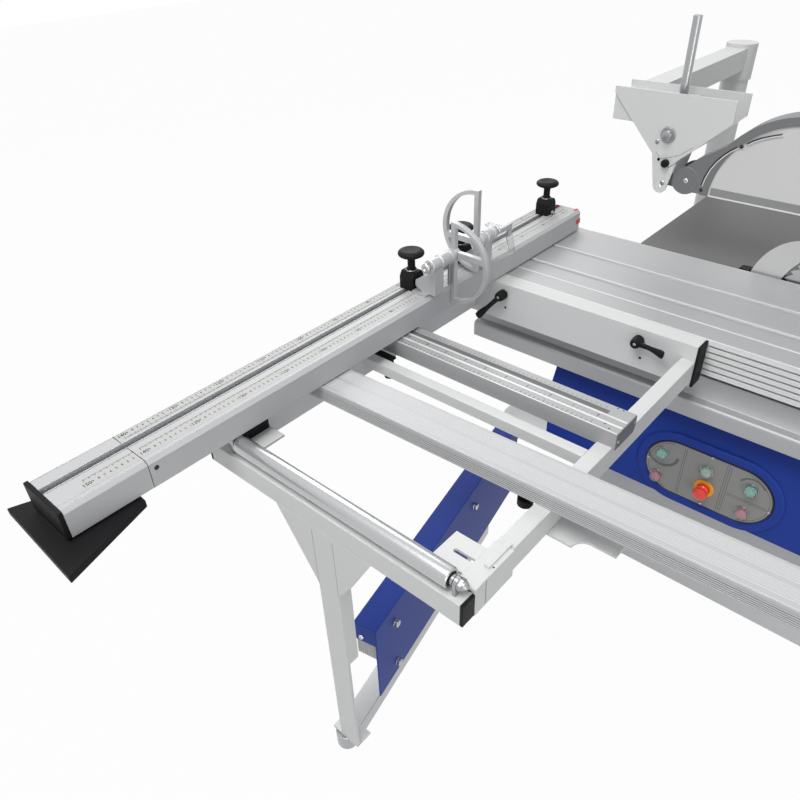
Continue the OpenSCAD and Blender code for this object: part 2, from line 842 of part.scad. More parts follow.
// Thin tube between the cross tubes
thin_x0 = -842;
thin_w = 24;
module thin_tube() {
    color([0.79, 0.80, 0.80])
    tube_y(thin_x0, thin_x0 + thin_w, cross_y1, rear_y0, cross_top - thin_w, cross_top, 2);
}

// Ribbed support profile that pulls out towards the operator
profile_y0 = -530;
module ribbed_profile() {
    ribs = 15;
    pitch = profile_w / ribs;
    low = cross_top + slip_c;
    rise = table_z - low;
    side_ribs = 6;
    side_pitch = 4;
    color([0.80, 0.81, 0.82])
    translate([profile_x0, cross_y0, 0])
    rotate([0, 0, profile_turn])
    along_y(profile_y0 - cross_y0, rear_y1 - cross_y0)
    difference() {
        translate([0, low]) square([profile_w, rise]);
        translate([wall, low + wall]) square([profile_w - 2 * wall, rise - 2 * wall - 1]);
        for (i = [1:ribs - 1]) {
            translate([i * pitch - 0.6, table_z - 1]) square([1.2, 2]);
        }
        for (i = [0:side_ribs]) {
            translate([-1, low + 2 + i * side_pitch]) square([2, 1]);
        }
    }
}

// Black clamping lever: hub on a stud, tapering arm
module clamp_lever(y, angle, arm) {
    gap = 1;
    hub_x = clamp_x0 - gap;
    color([0.12, 0.12, 0.12])
    translate([0, y, lever_z]) {
        rod_along_x(hub_x - 26, hub_x, 0, 0, 12);
        rotate([angle, 0, 0]) along_x(hub_x - 24, hub_x - 14) polygon([[0, -9], [arm, -7], [arm, 7], [0, 9]]);
        rotate([angle, 0, 0]) rod_along_x(hub_x - 26, hub_x - 12, arm, 0, 9);
    }
    color([0.60, 0.61, 0.62]) rod_along_x(hub_x, clamp_x0 + wall + 8, y, lever_z, lever_stud_r);
}
module clamp_lever_1() {
    clamp_lever(lever_y[0], -50, 92);
}
module clamp_lever_2() {
    clamp_lever(lever_y[1], 183, 66);
}

// Blue folded arm that swings under the outrigger: top, low rear side, deep front side with its bolts
arm_bolts = [[345, -64], [769, -60], [769, -205]];
module swing_arm() {
    sheet = 4;
    half = arm_w / 2;
    side_from = 42;
    translate([arm_pivot_x, arm_pivot_y, arm_top])
    rotate([0, 0, 180 + arm_angle]) {
        color([0.13, 0.21, 0.52])
        difference() {
            union() {
                translate([0, 0, -arm_h]) cylinder(h = arm_h, r = half);
                span(0, arm_len, -half, half, -arm_h, 0);
                span(side_from, arm_len, half - sheet, half, -arm_side_h, 0);
            }
            span(half + 6, arm_len - sheet, -half + sheet, half - sheet, -arm_h - 1, -sheet);
            translate([0, 0, -arm_h - 1]) cylinder(h = arm_h + 2, r = pin_r + run_c);
        }
        color([0.60, 0.61, 0.62])
        for (b = arm_bolts) {
            translate([b[0], half, b[1]]) rotate([-90, 0, 0]) cylinder(h = 9, r = 10, $fn = 6);
        }
    }
}

// Inner arm on the post pin, running below the swing arm
module inner_arm() {
    color([0.60, 0.61, 0.62])
    translate([post_x, arm_pin_y, inner_top - inner_h])
    rotate([0, 0, arm_angle])
    difference() {
        union() {
            cylinder(h = inner_h, r = 24);
            translate([0, -24, 0]) cube([inner_len, 48, inner_h]);
        }
        translate([40, -20, 4]) cube([inner_len, 40, inner_h - 8]);
        translate([0, 0, -1]) cylinder(h = inner_h + 2, r = pin_r + run_c);
    }
}

// Section of the fence: hollow, with chamfered upper edges and a T-slot along the top
module fence_section() {
    chamfer = 7;
    y1 = fence_y1;
    difference() {
        polygon([
            [fence_y0, fence_z0], [fence_y0, fence_z1 - chamfer], [fence_y0 + chamfer, fence_z1],
            [y1 - chamfer, fence_z1], [y1, fence_z1 - chamfer], [y1, fence_z0]
        ]);
        translate([fence_y0 + wall, fence_z0 + wall]) square([fence_d - 2 * wall, inner_fence_h]);
        translate([fence_slot_y - fence_slot_w / 2, fence_z1 - 13]) square([fence_slot_w, 14]);
        translate([fence_slot_y - 11, fence_z1 - 13]) square([22, 8]);
    }
}
module fence_profile() {
    color([0.86, 0.87, 0.87])
    difference() {
        along_x(-fence_x, fence_x1) fence_section();
        rod_along_z(fence_pivot_x, fence_pivot_y, fence_z0 - 1, fence_z1 + 1, fence_pin_r + run_c);
    }
    color([0.60, 0.61, 0.62])
    rod_along_z(fence_pivot_x, fence_pivot_y, table_z - 12, fence_z1, fence_pin_r);
    color([0.12, 0.12, 0.12])
    difference() {
        span(fence_pivot_x - block_w / 2, fence_pivot_x + block_w / 2, stop_y, stop_y + 38, fence_z1,
            fence_z1 + block_h);
        rod_along_z(fence_pivot_x, stop_y + 19, fence_z1 + 10, fence_z1 + block_h + 1, knob_stud_r + run_c);
    }
}

// Head and inner bar of the fence extension
module fence_extension() {
    c = slip_c;
    color([0.86, 0.87, 0.87]) {
        along_x(-fence_x - head_len, -fence_x) fence_section();
        span(-fence_x - head_len + 10, -200, fence_y0 + wall + c, fence_y1 - wall - c, fence_z0 + wall + c,
            fence_z0 + wall + inner_fence_h - c);
    }
}

// Black end cap of the extension, its tongue and the plate level with the table
module fence_support() {
    x0 = -fence_x - head_len;
    color([0.16, 0.16, 0.17]) {
        span(x0 - 8, x0, fence_y0, fence_y1, fence_z0, fence_z1);
        span(x0 - 8, x0 + 70, fence_y0 + 12, fence_y1 - 20, table_z, fence_z0);
        translate([0, 0, table_z - 14]) linear_extrude(14) polygon([
            [x0 - 36, fence_y1 + 38], [x0 - 42, fence_y0 - 65], [x0 + 118, fence_y0 - 11],
            [x0 + 119, fence_y0 + 5], [x0 + 7, fence_y1 + 22]
        ]);
    }
}

// A flip stop: black block over the T-slot, foot plate and the barrel the flag turns on
module stop_body(x, barrel_x0, barrel_x1, foot_x0) {
    color([0.12, 0.12, 0.12])
    difference() {
        span(x - block_w / 2, x + block_w / 2, stop_y, stop_y + 38, fence_z1, fence_z1 + block_h);
        rod_along_z(x, stop_y + 19, fence_z1 + 10, fence_z1 + block_h + 1, knob_stud_r + run_c);
    }
    color([0.75, 0.76, 0.77]) {
        span(foot_x0, foot_x0 + 46, fence_y0 + 3, stop_y, fence_z1, fence_z1 + 6);
        span(foot_x0 + 8, foot_x0 + 38, flag_y - 6, flag_y + 10, fence_z1 + 6, flag_z - 8);
        span(foot_x0 + 8, foot_x0 + 38, flag_y + 10, stop_y, fence_z1 + 6, fence_z1 + 30);
        difference() {
            rod_along_x(barrel_x0, barrel_x1, flag_y, flag_z, barrel_r);
            rod_along_x(barrel_x0 - 1, barrel_x1 + 1, flag_y, flag_z, 6 + run_c);
        }
    }
}
module stop_body_1() {
    stop_body(stop_1_x, stop_1_x - 28, flag_1_x - flag_t / 2 - slip_c, stop_1_x - 23);
}
module stop_body_2() {
    stop_body(stop_2_x, flag_2_x + flag_t / 2 + slip_c, stop_2_x + 28, stop_2_x - 23);
}

// A D-shaped flag that flips half a turn about the barrel, drawn raised
module flag_shape() {
    top = 118;
    low = -72;
    reach = 92;
    mid = (top + low) / 2;
    steps = 30;
    rim = 11;
    module dee(inset) {
        a = reach - inset;
        b = (top - low) / 2 - inset;
        polygon([
            [-6 + inset, mid + b], for (i = [0:steps]) [
                -6 + inset + (a + 6 - inset) * cos(90 - 180 * i / steps),
                mid + b * sin(90 - 180 * i / steps)
            ], [-6 + inset, mid - b]
        ]);
    }
    difference() {
        dee(0);
        difference() {
            dee(rim);
            translate([-10, -7]) square([reach + 20, 14]);
        }
    }
    circle(r = 13);
}
module flag(x, turn) {
    color([0.75, 0.76, 0.77])
    translate([0, flag_y, flag_z]) rotate([turn, 0, 0]) along_x(x - flag_t / 2, x + flag_t / 2) flag_shape();
}
module stop_flag_1() {
    flag(flag_1_x, 180);
    color([0.60, 0.61, 0.62]) rod_along_x(stop_1_x - 36, flag_1_x - flag_t / 2, flag_y, flag_z, 6);
}
module stop_flag_2() {
    flag(flag_2_x, 0);
    color([0.60, 0.61, 0.62]) rod_along_x(flag_2_x + flag_t / 2, stop_2_x + 36, flag_y, flag_z, 6);
}

// Black clamping knob on a threaded stud
module clamp_knob(x) {
    y = stop_y + 19;
    z = fence_z1 + block_h;
    color([0.10, 0.10, 0.10])
    translate([x, y, z + 1])
    rotate_extrude() polygon([
        [0, 0], [11, 0], [9, 4], [9, 26], [22, 33], [25, 38], [24, 43], [16, 47], [0, 48]
    ]);
    color([0.60, 0.61, 0.62]) rod_along_z(x, y, z - 20, z + 1, knob_stud_r);
}
module fence_knob() {
    clamp_knob(fence_pivot_x);
}
module stop_knob_1() {
    clamp_knob(stop_1_x);
}
module stop_knob_2() {
    clamp_knob(stop_2_x);
}

// Carriage that tilts: cheeks with ring shoes, a cross beam and two guide rods
module tilt_carriage() {
    shoe_r0 = ring_r0 - slip_c - 40;
    color([0.36, 0.37, 0.38]) {
        for (s = [-1, 1]) {
            cheek_y = s > 0 ? ring_y0 - 20 : -ring_y0 + 2;
            shoe_y = s > 0 ? ring_y0 - 2 : -ring_y1 + 2;
            span(0, 80, cheek_y, cheek_y + 18, carriage_z0, tilt_z - 270);
            translate([0, 0, tilt_z]) along_y(shoe_y, shoe_y + 20)
                ring_sector(shoe_r0, ring_r0 - slip_c, -89, -77);
        }
        span(24, 56, -ring_y0 + 20, ring_y0 - 20, carriage_z0, carriage_z1);
    }
    color([0.62, 0.63, 0.64])
    for (y = [-rod_y, rod_y]) {
        rod_along_z(rod_x, y, carriage_z1, table_z - 50, rod_r);
    }
    color([0.36, 0.37, 0.38])
    difference() {
        span(20, 60, scoring_y - 20, scoring_y + 20, carriage_z1, scoring_z - 52);
        rod_along_z(rod_x, scoring_y, scoring_z - 140, scoring_z - 51, 10 + run_c);
    }
}

// Slide that lifts the arbor: block on the rods, arbor housing, motor shelf and knife holder
module rise_slide() {
    block_z0 = blade_z - 143;
    block_z1 = blade_z - 43;
    shelf_z = motor_z - motor_r;
    color([0.30, 0.31, 0.32])
    difference() {
        union() {
            span(22, 58, -105, 105, block_z0, block_z1);
            span(22, 58, -30, 30, block_z1, blade_z);
            rod_along_x(12, pulley_x0 - 3, 0, blade_z, 32);
            span(22, 58, 105, 270, shelf_z - 16, block_z1 - 40);
            span(58, 250, 130, 270, shelf_z - 16, shelf_z);
            span(knife_t / 2 + run_c, 22, 155, 225, blade_z - 120, blade_z - 60);
        }
        for (y = [-rod_y, rod_y]) {
            rod_along_z(rod_x, y, block_z0 - 1, block_z1 + 1, rod_r + run_c);
        }
        rod_along_x(11, pulley_x0, 0, blade_z, arbor_r + run_c);
    }
}

// Riving knife: a crescent round the back of the blade on a foot in the holder
module riving_knife() {
    inner_r = blade_r + 4.5;
    outer_r = 230;
    tip_r = inner_r + 6;
    steps = 30;
    a0 = 8;
    a1 = 64;
    color([0.78, 0.79, 0.80])
    translate([0, 0, blade_z])
    along_x(-knife_t / 2, knife_t / 2)
    polygon([
        [205, -110], [215, -20],
        for (i = [0:steps])
            let (a = a0 + (a1 - a0) * i / steps, r = outer_r - (outer_r - tip_r) * pow(i / steps, 3))
            [r * cos(a), r * sin(a)],
        for (i = [steps:-1:0])
            let (a = -a0 + (a1 + a0 - 1) * i / steps)
            [inner_r * cos(a), inner_r * sin(a)],
        [130, -110]
    ]);
}

// Flat belt from the motor pulley to the arbor pulley
belt_d = sqrt(motor_y * motor_y + (motor_z - blade_z) * (motor_z - blade_z));
belt_a = atan2(motor_z - blade_z, motor_y);
function belt_points(r1, r2) =
    let (lean = acos((r1 - r2) / belt_d), n = 32)
    [
        for (i = [0:n]) let (a = lean + (360 - 2 * lean) * i / n) r1 * [cos(a), sin(a)],
        for (i = [0:n]) let (a = 2 * lean * i / n - lean) [belt_d + r2 * cos(a), r2 * sin(a)]
    ];
module drive_belt() {
    r1 = arbor_pulley_r + slip_c;
    r2 = motor_pulley_r + slip_c;
    color([0.10, 0.10, 0.10])
    translate([0, 0, blade_z])
    along_x(pulley_x0 + 4, pulley_x1 - 4)
    rotate(belt_a)
    difference() {
        polygon(belt_points(r1 + belt_t, r2 + belt_t));
        polygon(belt_points(r1, r2));
    }
}

// Motor body on its shelf, and the rotor with the driving pulley
module saw_motor() {
    x0 = pulley_x1 + 5;
    x1 = x0 + 138;
    color([0.25, 0.28, 0.33])
    difference() {
        union() {
            rod_along_x(x0, x1, motor_y, motor_z, motor_r - slip_c);
            span(x0 + 15, x1 - 25, motor_y - 55, motor_y + 55, motor_z - motor_r, motor_z - motor_r + 20);
        }
        rod_along_x(x0 - 1, x1 + 1, motor_y, motor_z, 14 + run_c);
    }
}
module motor_pulley() {
    color([0.55, 0.56, 0.57]) {
        rod_along_x(pulley_x0, pulley_x1 + 140, motor_y, motor_z, 14);
        rod_along_x(pulley_x0 + 2, pulley_x1 - 2, motor_y, motor_z, motor_pulley_r);
    }
}

// Outline of a blade with one tooth for each step of the rim
module blade_shape(r, teeth) {
    pitch = 360 / teeth;
    polygon([
        for (i = [0:teeth - 1]) each [
            r * [cos(i * pitch), sin(i * pitch)],
            (r - 3) * [cos(i * pitch + pitch * 0.3), sin(i * pitch + pitch * 0.3)],
            (r - 9) * [cos(i * pitch + pitch * 0.85), sin(i * pitch + pitch * 0.85)],
            (r - 8) * [cos(i * pitch + pitch * 0.97), sin(i * pitch + pitch * 0.97)]
        ]
    ]);
}

// Main blade between its flanges, on the arbor with its pulley
module saw_blade() {
    half = blade_t / 2;
    color([0.70, 0.71, 0.72])
    difference() {
        translate([0, 0, blade_z]) along_x(-half, half) blade_shape(blade_r, 48);
        rod_along_x(-half - 1, half + 1, 0, blade_z, arbor_r);
    }
    color([0.45, 0.46, 0.47]) {
        rod_along_x(-22, pulley_x1 + 1, 0, blade_z, arbor_r);
        difference() {
            rod_along_x(-10, -half, 0, blade_z, 40);
            rod_along_x(-11, -half + 1, 0, blade_z, arbor_r);
        }
        difference() {
            rod_along_x(half, 11, 0, blade_z, 38);
            rod_along_x(half - 1, 12, 0, blade_z, arbor_r);
        }
        difference() {
            rod_along_x(pulley_x0 + 2, pulley_x1 - 2, 0, blade_z, arbor_pulley_r);
            rod_along_x(pulley_x0, pulley_x1, 0, blade_z, arbor_r);
        }
    }
}

// Small motor of the scoring blade on its stem, and the blade
module scoring_unit() {
    color([0.30, 0.31, 0.32])
    difference() {
        union() {
            rod_along_x(14, 106, scoring_y, scoring_z, 32);
            rod_along_z(rod_x, scoring_y, scoring_z - 120, scoring_z, 10);
        }
        rod_along_x(13, 107, scoring_y, scoring_z, 8 + run_c);
    }
}
module scoring_blade() {
    color([0.70, 0.71, 0.72])
    translate([0, scoring_y, scoring_z]) along_x(-blade_t / 2, blade_t / 2) blade_shape(scoring_r, 24);
    color([0.45, 0.46, 0.47]) {
        rod_along_x(blade_t / 2, 100, scoring_y, scoring_z, 8);
        rod_along_x(-8, -blade_t / 2, scoring_y, scoring_z, 15);
    }
}

// Boom on the mast, and the bracket plates that hold the hood guide
module bracket_plate(x0, x1) {
    z = hood_z;
    color([0.80, 0.81, 0.81])
    difference() {
        union() {
            along_x(x0, x1) polygon([
                [guide_y - 17, z + 6], [guide_y - 31, z + 72], [guide_y - 64, z + 100],
                [guide_y - 140, z + 172],
                [guide_y - 140, z + 220], [guide_y + 150, z + 220], [guide_y + 150, z + 205],
                [guide_y + 33, z + 80], [guide_y + 17, z]
            ]);
            rod_along_x(x0, x1, guide_y, z + 6, 17);
        }
        rod_along_x(x0 - 1, x1 + 1, guide_y, z + 6, 4);
    }
}
module guard_boom() {
    plate_x = hood_w / 2 + 8;
    collar_r = 45;
    color([0.80, 0.81, 0.81]) {
        difference() {
            union() {
                span(-plate_x, post_cx, post_cy - boom_size / 2, post_cy + boom_size / 2, boom_z - 30,
                    boom_z + 30);
                rod_along_z(post_cx, post_cy, boom_z - 59.7, boom_z + 40, collar_r);
            }
            rod_along_z(post_cx, post_cy, boom_z - 61, boom_z + 30 + slip_c, 22 + run_c);
            span(-plate_x + 20, post_cx - 60, post_cy - boom_size / 2 + 4, post_cy + boom_size / 2 - 4,
                boom_z - 26, boom_z + 26);
        }
    }
    bracket_plate(-plate_x - 4, -plate_x);
    bracket_plate(plate_x, plate_x + 4);
    color([0.36, 0.37, 0.38])
    difference() {
        span(-plate_x, plate_x, guide_y - 25, post_cy - boom_size / 2, boom_z - 30, boom_z + 30);
        rod_along_z(0, guide_y, boom_z - 31, boom_z + 31, guide_r + run_c);
    }
}

// Outline of the hood: a flat arch with a nose at the back
module hood_outline(grow) {
    r = hood_arc_r + grow;
    intersection() {
        union() {
            translate([hood_rear_y, 0]) circle(r = r, $fn = 96);
            translate([hood_front_y, 0]) circle(r = r, $fn = 96);
            translate([hood_front_y, 0]) square([hood_rear_y - hood_front_y, r]);
        }
        translate([hood_front_y - r - 1, 0]) square([hood_rear_y - hood_front_y + 2 * r + 2, r + 1]);
    }
}
module guard_hood() {
    half = hood_w / 2;
    color([0.38, 0.39, 0.40])
    difference() {
        translate([0, 0, hood_z]) along_x(-half, half) union() {
            hood_outline(hood_band);
            polygon([
                [hood_rear_y + 170, 4], [nose_y, 0], [nose_y + nose_r * 0.8, 8], [nose_y + nose_r, 26],
                [nose_y + 8, nose_r + 24], [nose_y - 20, 78], [hood_rear_y + 110, 158],
                [hood_rear_y + 80, 160]
            ]);
        }
        translate([0, 0, hood_z - 1]) along_x(-half + 4, half - 4) hood_outline(0);
        translate([0, 0, hood_z - 1]) along_x(-half - 1, -half + 5) hood_outline(0);
        translate([0, 0, hood_z - 1]) along_x(half - 5, half + 1) hood_outline(0);
    }
    color([0.80, 0.81, 0.81])
    for (x = [-half + 3, half - 6]) {
        translate([0, 0, hood_z]) along_x(x, x + 3) hood_outline(0);
    }
    color([0.62, 0.63, 0.64])
    rod_along_z(0, guide_y, hood_z + 20, boom_z + 200, guide_r);
    color([0.38, 0.39, 0.40])
    span(-12, 12, nose_y + nose_r - 6, guide_y + 14, hood_z, hood_z + 20);
    color([0.38, 0.39, 0.40])
    difference() {
        rod_along_z(0, 55, hood_z + hood_arc_r + hood_band, hood_z + hood_arc_r + hood_band + 50, 30);
        rod_along_z(0, 55, hood_z + hood_arc_r + hood_band - 1, hood_z + hood_arc_r + hood_band + 51, 27);
    }
}

// Rip fence: cast carriage round the rail, and the aluminium fence across the table
rip_x = ext_x1 - 90;
module rip_fence() {
    color([0.30, 0.31, 0.32])
    difference() {
        span(rip_x - 60, rip_x + 60, rail_y - 34, rail_y + 34, rail_z - 34, table_z + 30);
        rod_along_x(rip_x - 61, rip_x + 61, rail_y, rail_z, rail_r + run_c);
        span(rip_x - 61, rip_x + 61, rail_y + 1, rail_y + 35, rail_z - 35, rail_z + 9);
    }
    color([0.86, 0.87, 0.87])
    span(rip_x - 14, rip_x + 14, rail_y + 34, 300, table_z + 2, table_z + 90);
    color([0.12, 0.12, 0.12])
    rod_along_z(rip_x + 40, rail_y - 10, table_z + 30, table_z + 90, 9);
}

lower_cabinet();
upper_housing();
control_panel();
main_table();
table_insert();
support_blocks();
extension_table();
guide_beam();
arm_bracket();
rip_rail();
guard_post();
trunnions();
sliding_table();
table_fittings();
trolley_frame();
trolley_rollers_front();
trolley_rollers_rear();
clamp_beam();
cross_tubes();
outer_tube();
black_caps();
support_post();
roller_mounts();
outrigger_plates();
mitre_bar();
thin_tube();
support_roller();
ribbed_profile();
clamp_lever_1();
clamp_lever_2();
swing_arm();
inner_arm();
fence_profile();
fence_knob();
fence_extension();
fence_support();
stop_body_1();
stop_body_2();
stop_flag_1();
stop_flag_2();
stop_knob_1();
stop_knob_2();
tilt_carriage();
rise_slide();
riving_knife();
drive_belt();
saw_motor();
motor_pulley();
saw_blade();
scoring_unit();
scoring_blade();
guard_boom();
guard_hood();
rip_fence();
start_button_1();
stop_button_1();
pilot_button();
start_button_2();
stop_button_2();
emergency_stop();
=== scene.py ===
# %% [markdown]
# A sliding table saw is mostly folded sheet, square tube and drawn aluminium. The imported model
# already holds those shapes at their real size, so this lesson dresses them: soft edges, finishes,
# scales, screws, the control panel and the guard. All lengths below are millimetres until a piece
# is finished, because a saw is drawn in millimetres; the last step of every piece turns them to metres.

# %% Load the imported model
import json
import math
import bmesh
import bpy
from mathutils import Euler, Matrix, Vector

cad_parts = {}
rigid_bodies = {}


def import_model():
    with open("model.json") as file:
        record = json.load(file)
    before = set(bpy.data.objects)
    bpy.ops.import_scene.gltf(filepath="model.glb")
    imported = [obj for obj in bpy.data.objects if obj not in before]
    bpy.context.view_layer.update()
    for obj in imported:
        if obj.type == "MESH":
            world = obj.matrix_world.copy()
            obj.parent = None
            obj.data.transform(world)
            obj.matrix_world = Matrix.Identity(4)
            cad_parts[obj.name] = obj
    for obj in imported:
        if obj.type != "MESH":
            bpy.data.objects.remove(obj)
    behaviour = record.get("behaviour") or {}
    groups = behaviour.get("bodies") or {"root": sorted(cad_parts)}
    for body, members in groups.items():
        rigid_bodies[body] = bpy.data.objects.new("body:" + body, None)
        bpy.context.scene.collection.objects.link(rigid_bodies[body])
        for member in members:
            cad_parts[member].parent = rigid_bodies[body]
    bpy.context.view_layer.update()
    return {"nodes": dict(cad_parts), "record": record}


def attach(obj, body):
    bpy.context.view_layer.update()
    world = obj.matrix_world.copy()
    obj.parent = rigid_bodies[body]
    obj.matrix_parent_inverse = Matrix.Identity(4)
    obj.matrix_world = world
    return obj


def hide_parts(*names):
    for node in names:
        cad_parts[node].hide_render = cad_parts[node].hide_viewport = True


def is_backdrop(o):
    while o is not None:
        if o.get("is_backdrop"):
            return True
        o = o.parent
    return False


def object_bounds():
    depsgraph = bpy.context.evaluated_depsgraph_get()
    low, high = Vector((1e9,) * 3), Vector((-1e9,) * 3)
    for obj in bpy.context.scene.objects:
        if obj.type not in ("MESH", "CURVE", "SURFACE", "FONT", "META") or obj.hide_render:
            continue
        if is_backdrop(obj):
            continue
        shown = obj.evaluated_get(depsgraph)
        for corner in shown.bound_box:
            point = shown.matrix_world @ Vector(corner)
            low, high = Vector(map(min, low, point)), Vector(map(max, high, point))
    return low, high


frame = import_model()
nodes = frame["nodes"]
MM = 0.001

# %% [markdown]
# The sizes that several pieces share are named once. They are the saw's own: the table height, the
# fence section and the line of the sliding table's edge.

# %% Sizes shared by many pieces
TABLE = 900.0
FENCE_FRONT = 684.0
FENCE_BACK = 794.0
FENCE_BOTTOM = 903.0
FENCE_TOP = 957.0
FENCE_RIGHT = -27.0
FENCE_LEFT = -1387.0
HEAD_LEFT = -1530.0
FLAG_AXIS = (677.0, 1036.0)
STOP_BACK = 731.5
CHAMFER = 7.0
TUBE_TOP = 866.0
print("table top", TABLE, "fence top", FENCE_TOP, "tube top", TUBE_TOP)

# %% [markdown]
# The camera comes first, so that every later step can be judged in the photograph's own view. Its
# place was worked out from the scale on the fence and the edges of the table: it stands over the
# front left corner, about 1.7 m high, and looks down at the outrigger.

# %% Camera
camera_data = bpy.data.cameras.new("camera")
camera_data.lens = 31.9
camera_data.sensor_width = 36.0
camera_data.clip_end = 60.0
camera = bpy.data.objects.new("camera", camera_data)
camera.location = (-1.7511, -0.2024, 1.6805)
camera.rotation_euler = Euler((math.radians(54.392), math.radians(1.869), math.radians(-48.736)))
bpy.context.scene.collection.objects.link(camera)
bpy.context.scene.camera = camera
print("camera at", tuple(round(c, 3) for c in camera.location), "lens", camera_data.lens)

# %% [markdown]
# The photograph is a catalogue cut-out: white all round, with soft light from above. The floor and
# the world look white to the camera, and to the rays that mirror off metal or pass through plastic.
# All other rays see a darker studio, so that the lamps alone light the saw. One small group of nodes
# tells the two kinds of ray apart, and the world and the floor both use it.

# %% Rays that see the backdrop
def backdrop_rays(tree):
    """A socket that is 1 for the rays that should find a white backdrop: camera, mirror and glass."""
    ray = tree.nodes.new("ShaderNodeLightPath")
    total = ray.outputs["Is Camera Ray"]
    for kind in ("Is Glossy Ray", "Is Transmission Ray"):
        either = tree.nodes.new("ShaderNodeMath")
        either.operation = "MAXIMUM"
        tree.links.new(total, either.inputs[0])
        tree.links.new(ray.outputs[kind], either.inputs[1])
        total = either.outputs[0]
    return total


scene = bpy.context.scene
scene.view_settings.view_transform = "Standard"
print("view transform:", scene.view_settings.view_transform)

# %% [markdown]
# A real studio is darker near the floor than overhead. The world copies that with a ramp over the
# height of the direction, and it is kept weak, because it only fills the shadows between the lamps.

# %% World
STUDIO_STRENGTH = 0.46
HORIZON_GREY = (0.36, 0.36, 0.37, 1)
OVERHEAD_FROM = 0.75
world = bpy.data.worlds.new("studio")
scene.world = world
world.use_nodes = True
tree = world.node_tree
tree.nodes.clear()
out = tree.nodes.new("ShaderNodeOutputWorld")
white = tree.nodes.new("ShaderNodeBackground")
white.inputs["Color"].default_value = (1.0, 1.0, 1.0, 1)
white.inputs["Strength"].default_value = 1.0
studio = tree.nodes.new("ShaderNodeBackground")
studio.inputs["Strength"].default_value = STUDIO_STRENGTH
mix = tree.nodes.new("ShaderNodeMixShader")
direction = tree.nodes.new("ShaderNodeTexCoord")
split = tree.nodes.new("ShaderNodeSeparateXYZ")
ramp = tree.nodes.new("ShaderNodeValToRGB")
ramp.color_ramp.elements[0].position = 0.0
ramp.color_ramp.elements[0].color = HORIZON_GREY
ramp.color_ramp.elements[1].position = OVERHEAD_FROM
ramp.color_ramp.elements[1].color = (1.0, 1.0, 1.0, 1)
tree.links.new(direction.outputs["Generated"], split.inputs[0])
tree.links.new(split.outputs["Z"], ramp.inputs["Fac"])
tree.links.new(ramp.outputs["Color"], studio.inputs["Color"])
tree.links.new(backdrop_rays(tree), mix.inputs["Fac"])
tree.links.new(studio.outputs[0], mix.inputs[1])
tree.links.new(white.outputs[0], mix.inputs[2])
tree.links.new(mix.outputs[0], out.inputs["Surface"])
print("world nodes:", len(tree.nodes))

# %% [markdown]
# Four square lamps stand in for soft boxes. A large lamp gives soft shadow edges. The key hangs over
# the outrigger, the fill and the rear lamp open the sides, and a low one lights the arm and the post.

# %% Lamps
def lamp(name, place, target, size, power):
    """A square soft lamp at place that points at target."""
    data = bpy.data.lights.new(name, "AREA")
    data.shape = "SQUARE"
    data.size = size
    data.energy = power
    obj = bpy.data.objects.new(name, data)
    obj.location = place
    obj.rotation_euler = (Vector(target) - Vector(place)).to_track_quat("-Z", "Y").to_euler()
    scene.collection.objects.link(obj)
    print(f"{name}: {power} W, {size} m wide")


lamp("key_lamp", (-2.4, 0.4, 4.6), (-0.5, 0.3, 0.8), 2.2, 118)
lamp("fill_lamp", (-3.6, -2.6, 2.2), (-0.4, 0.2, 0.6), 2.6, 26)
lamp("rear_lamp", (1.8, 3.4, 3.4), (0.0, 0.3, 0.7), 2.2, 60)
lamp("low_lamp", (-2.3, -2.4, 0.4), (-1.0, 0.6, 0.4), 1.2, 16)

# %% [markdown]
# The floor is one large sheet. It belongs to the stage and not to the saw, so it is told to the frame
# as such and doesn't count in the saw's size.

# %% Floor
FLOOR_REACH = 14.0
floor_bm = bmesh.new()
bmesh.ops.create_grid(floor_bm, x_segments=1, y_segments=1, size=FLOOR_REACH)
floor_mesh = bpy.data.meshes.new("floor")
floor_bm.to_mesh(floor_mesh)
floor_bm.free()
floor = bpy.data.objects.new("floor", floor_mesh)
scene.collection.objects.link(floor)
floor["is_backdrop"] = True
print("floor:", 2 * FLOOR_REACH, "m square")

# %% [markdown]
# The floor glows white for the camera and is grey paper for the light, so it throws back a little
# light from below without washing out the saw. A small share stays paper, which keeps the shadow.

# %% Finish of the floor
FLOOR_GREY = 0.50
GLOW_SHARE = 0.97
floor_mat = bpy.data.materials.new("floor_white")
floor_mat.use_nodes = True
tree = floor_mat.node_tree
tree.nodes.clear()
out = tree.nodes.new("ShaderNodeOutputMaterial")
paper = tree.nodes.new("ShaderNodeBsdfDiffuse")
paper.inputs["Color"].default_value = (FLOOR_GREY, FLOOR_GREY, FLOOR_GREY, 1)
glow = tree.nodes.new("ShaderNodeEmission")
glow.inputs["Strength"].default_value = 1.0
share = tree.nodes.new("ShaderNodeMath")
share.operation = "MULTIPLY"
share.inputs[1].default_value = GLOW_SHARE
mix = tree.nodes.new("ShaderNodeMixShader")
tree.links.new(backdrop_rays(tree), share.inputs[0])
tree.links.new(share.outputs[0], mix.inputs["Fac"])
tree.links.new(paper.outputs[0], mix.inputs[1])
tree.links.new(glow.outputs[0], mix.inputs[2])
tree.links.new(mix.outputs[0], out.inputs["Surface"])
floor_mesh.materials.append(floor_mat)
print("share of the floor that glows:", GLOW_SHARE)

# %% [markdown]
# A colour picked from a screen is not the value a shader wants, because screens bend the brightness.
# This helper takes the bend out, so that the finishes below can be read as ordinary 0 to 255 tones.

# %% Reading a colour
def tone(red, green, blue):
    """A colour read as 0 to 255 on screen, turned to the linear values that shaders use."""
    steps = []
    for value in (red, green, blue):
        v = value / 255
        steps.append(v / 12.92 if v <= 0.04045 else ((v + 0.055) / 1.055) ** 2.4)
    return (*steps, 1.0)


print("mid grey as the shader sees it:", round(tone(128, 128, 128)[0], 3))

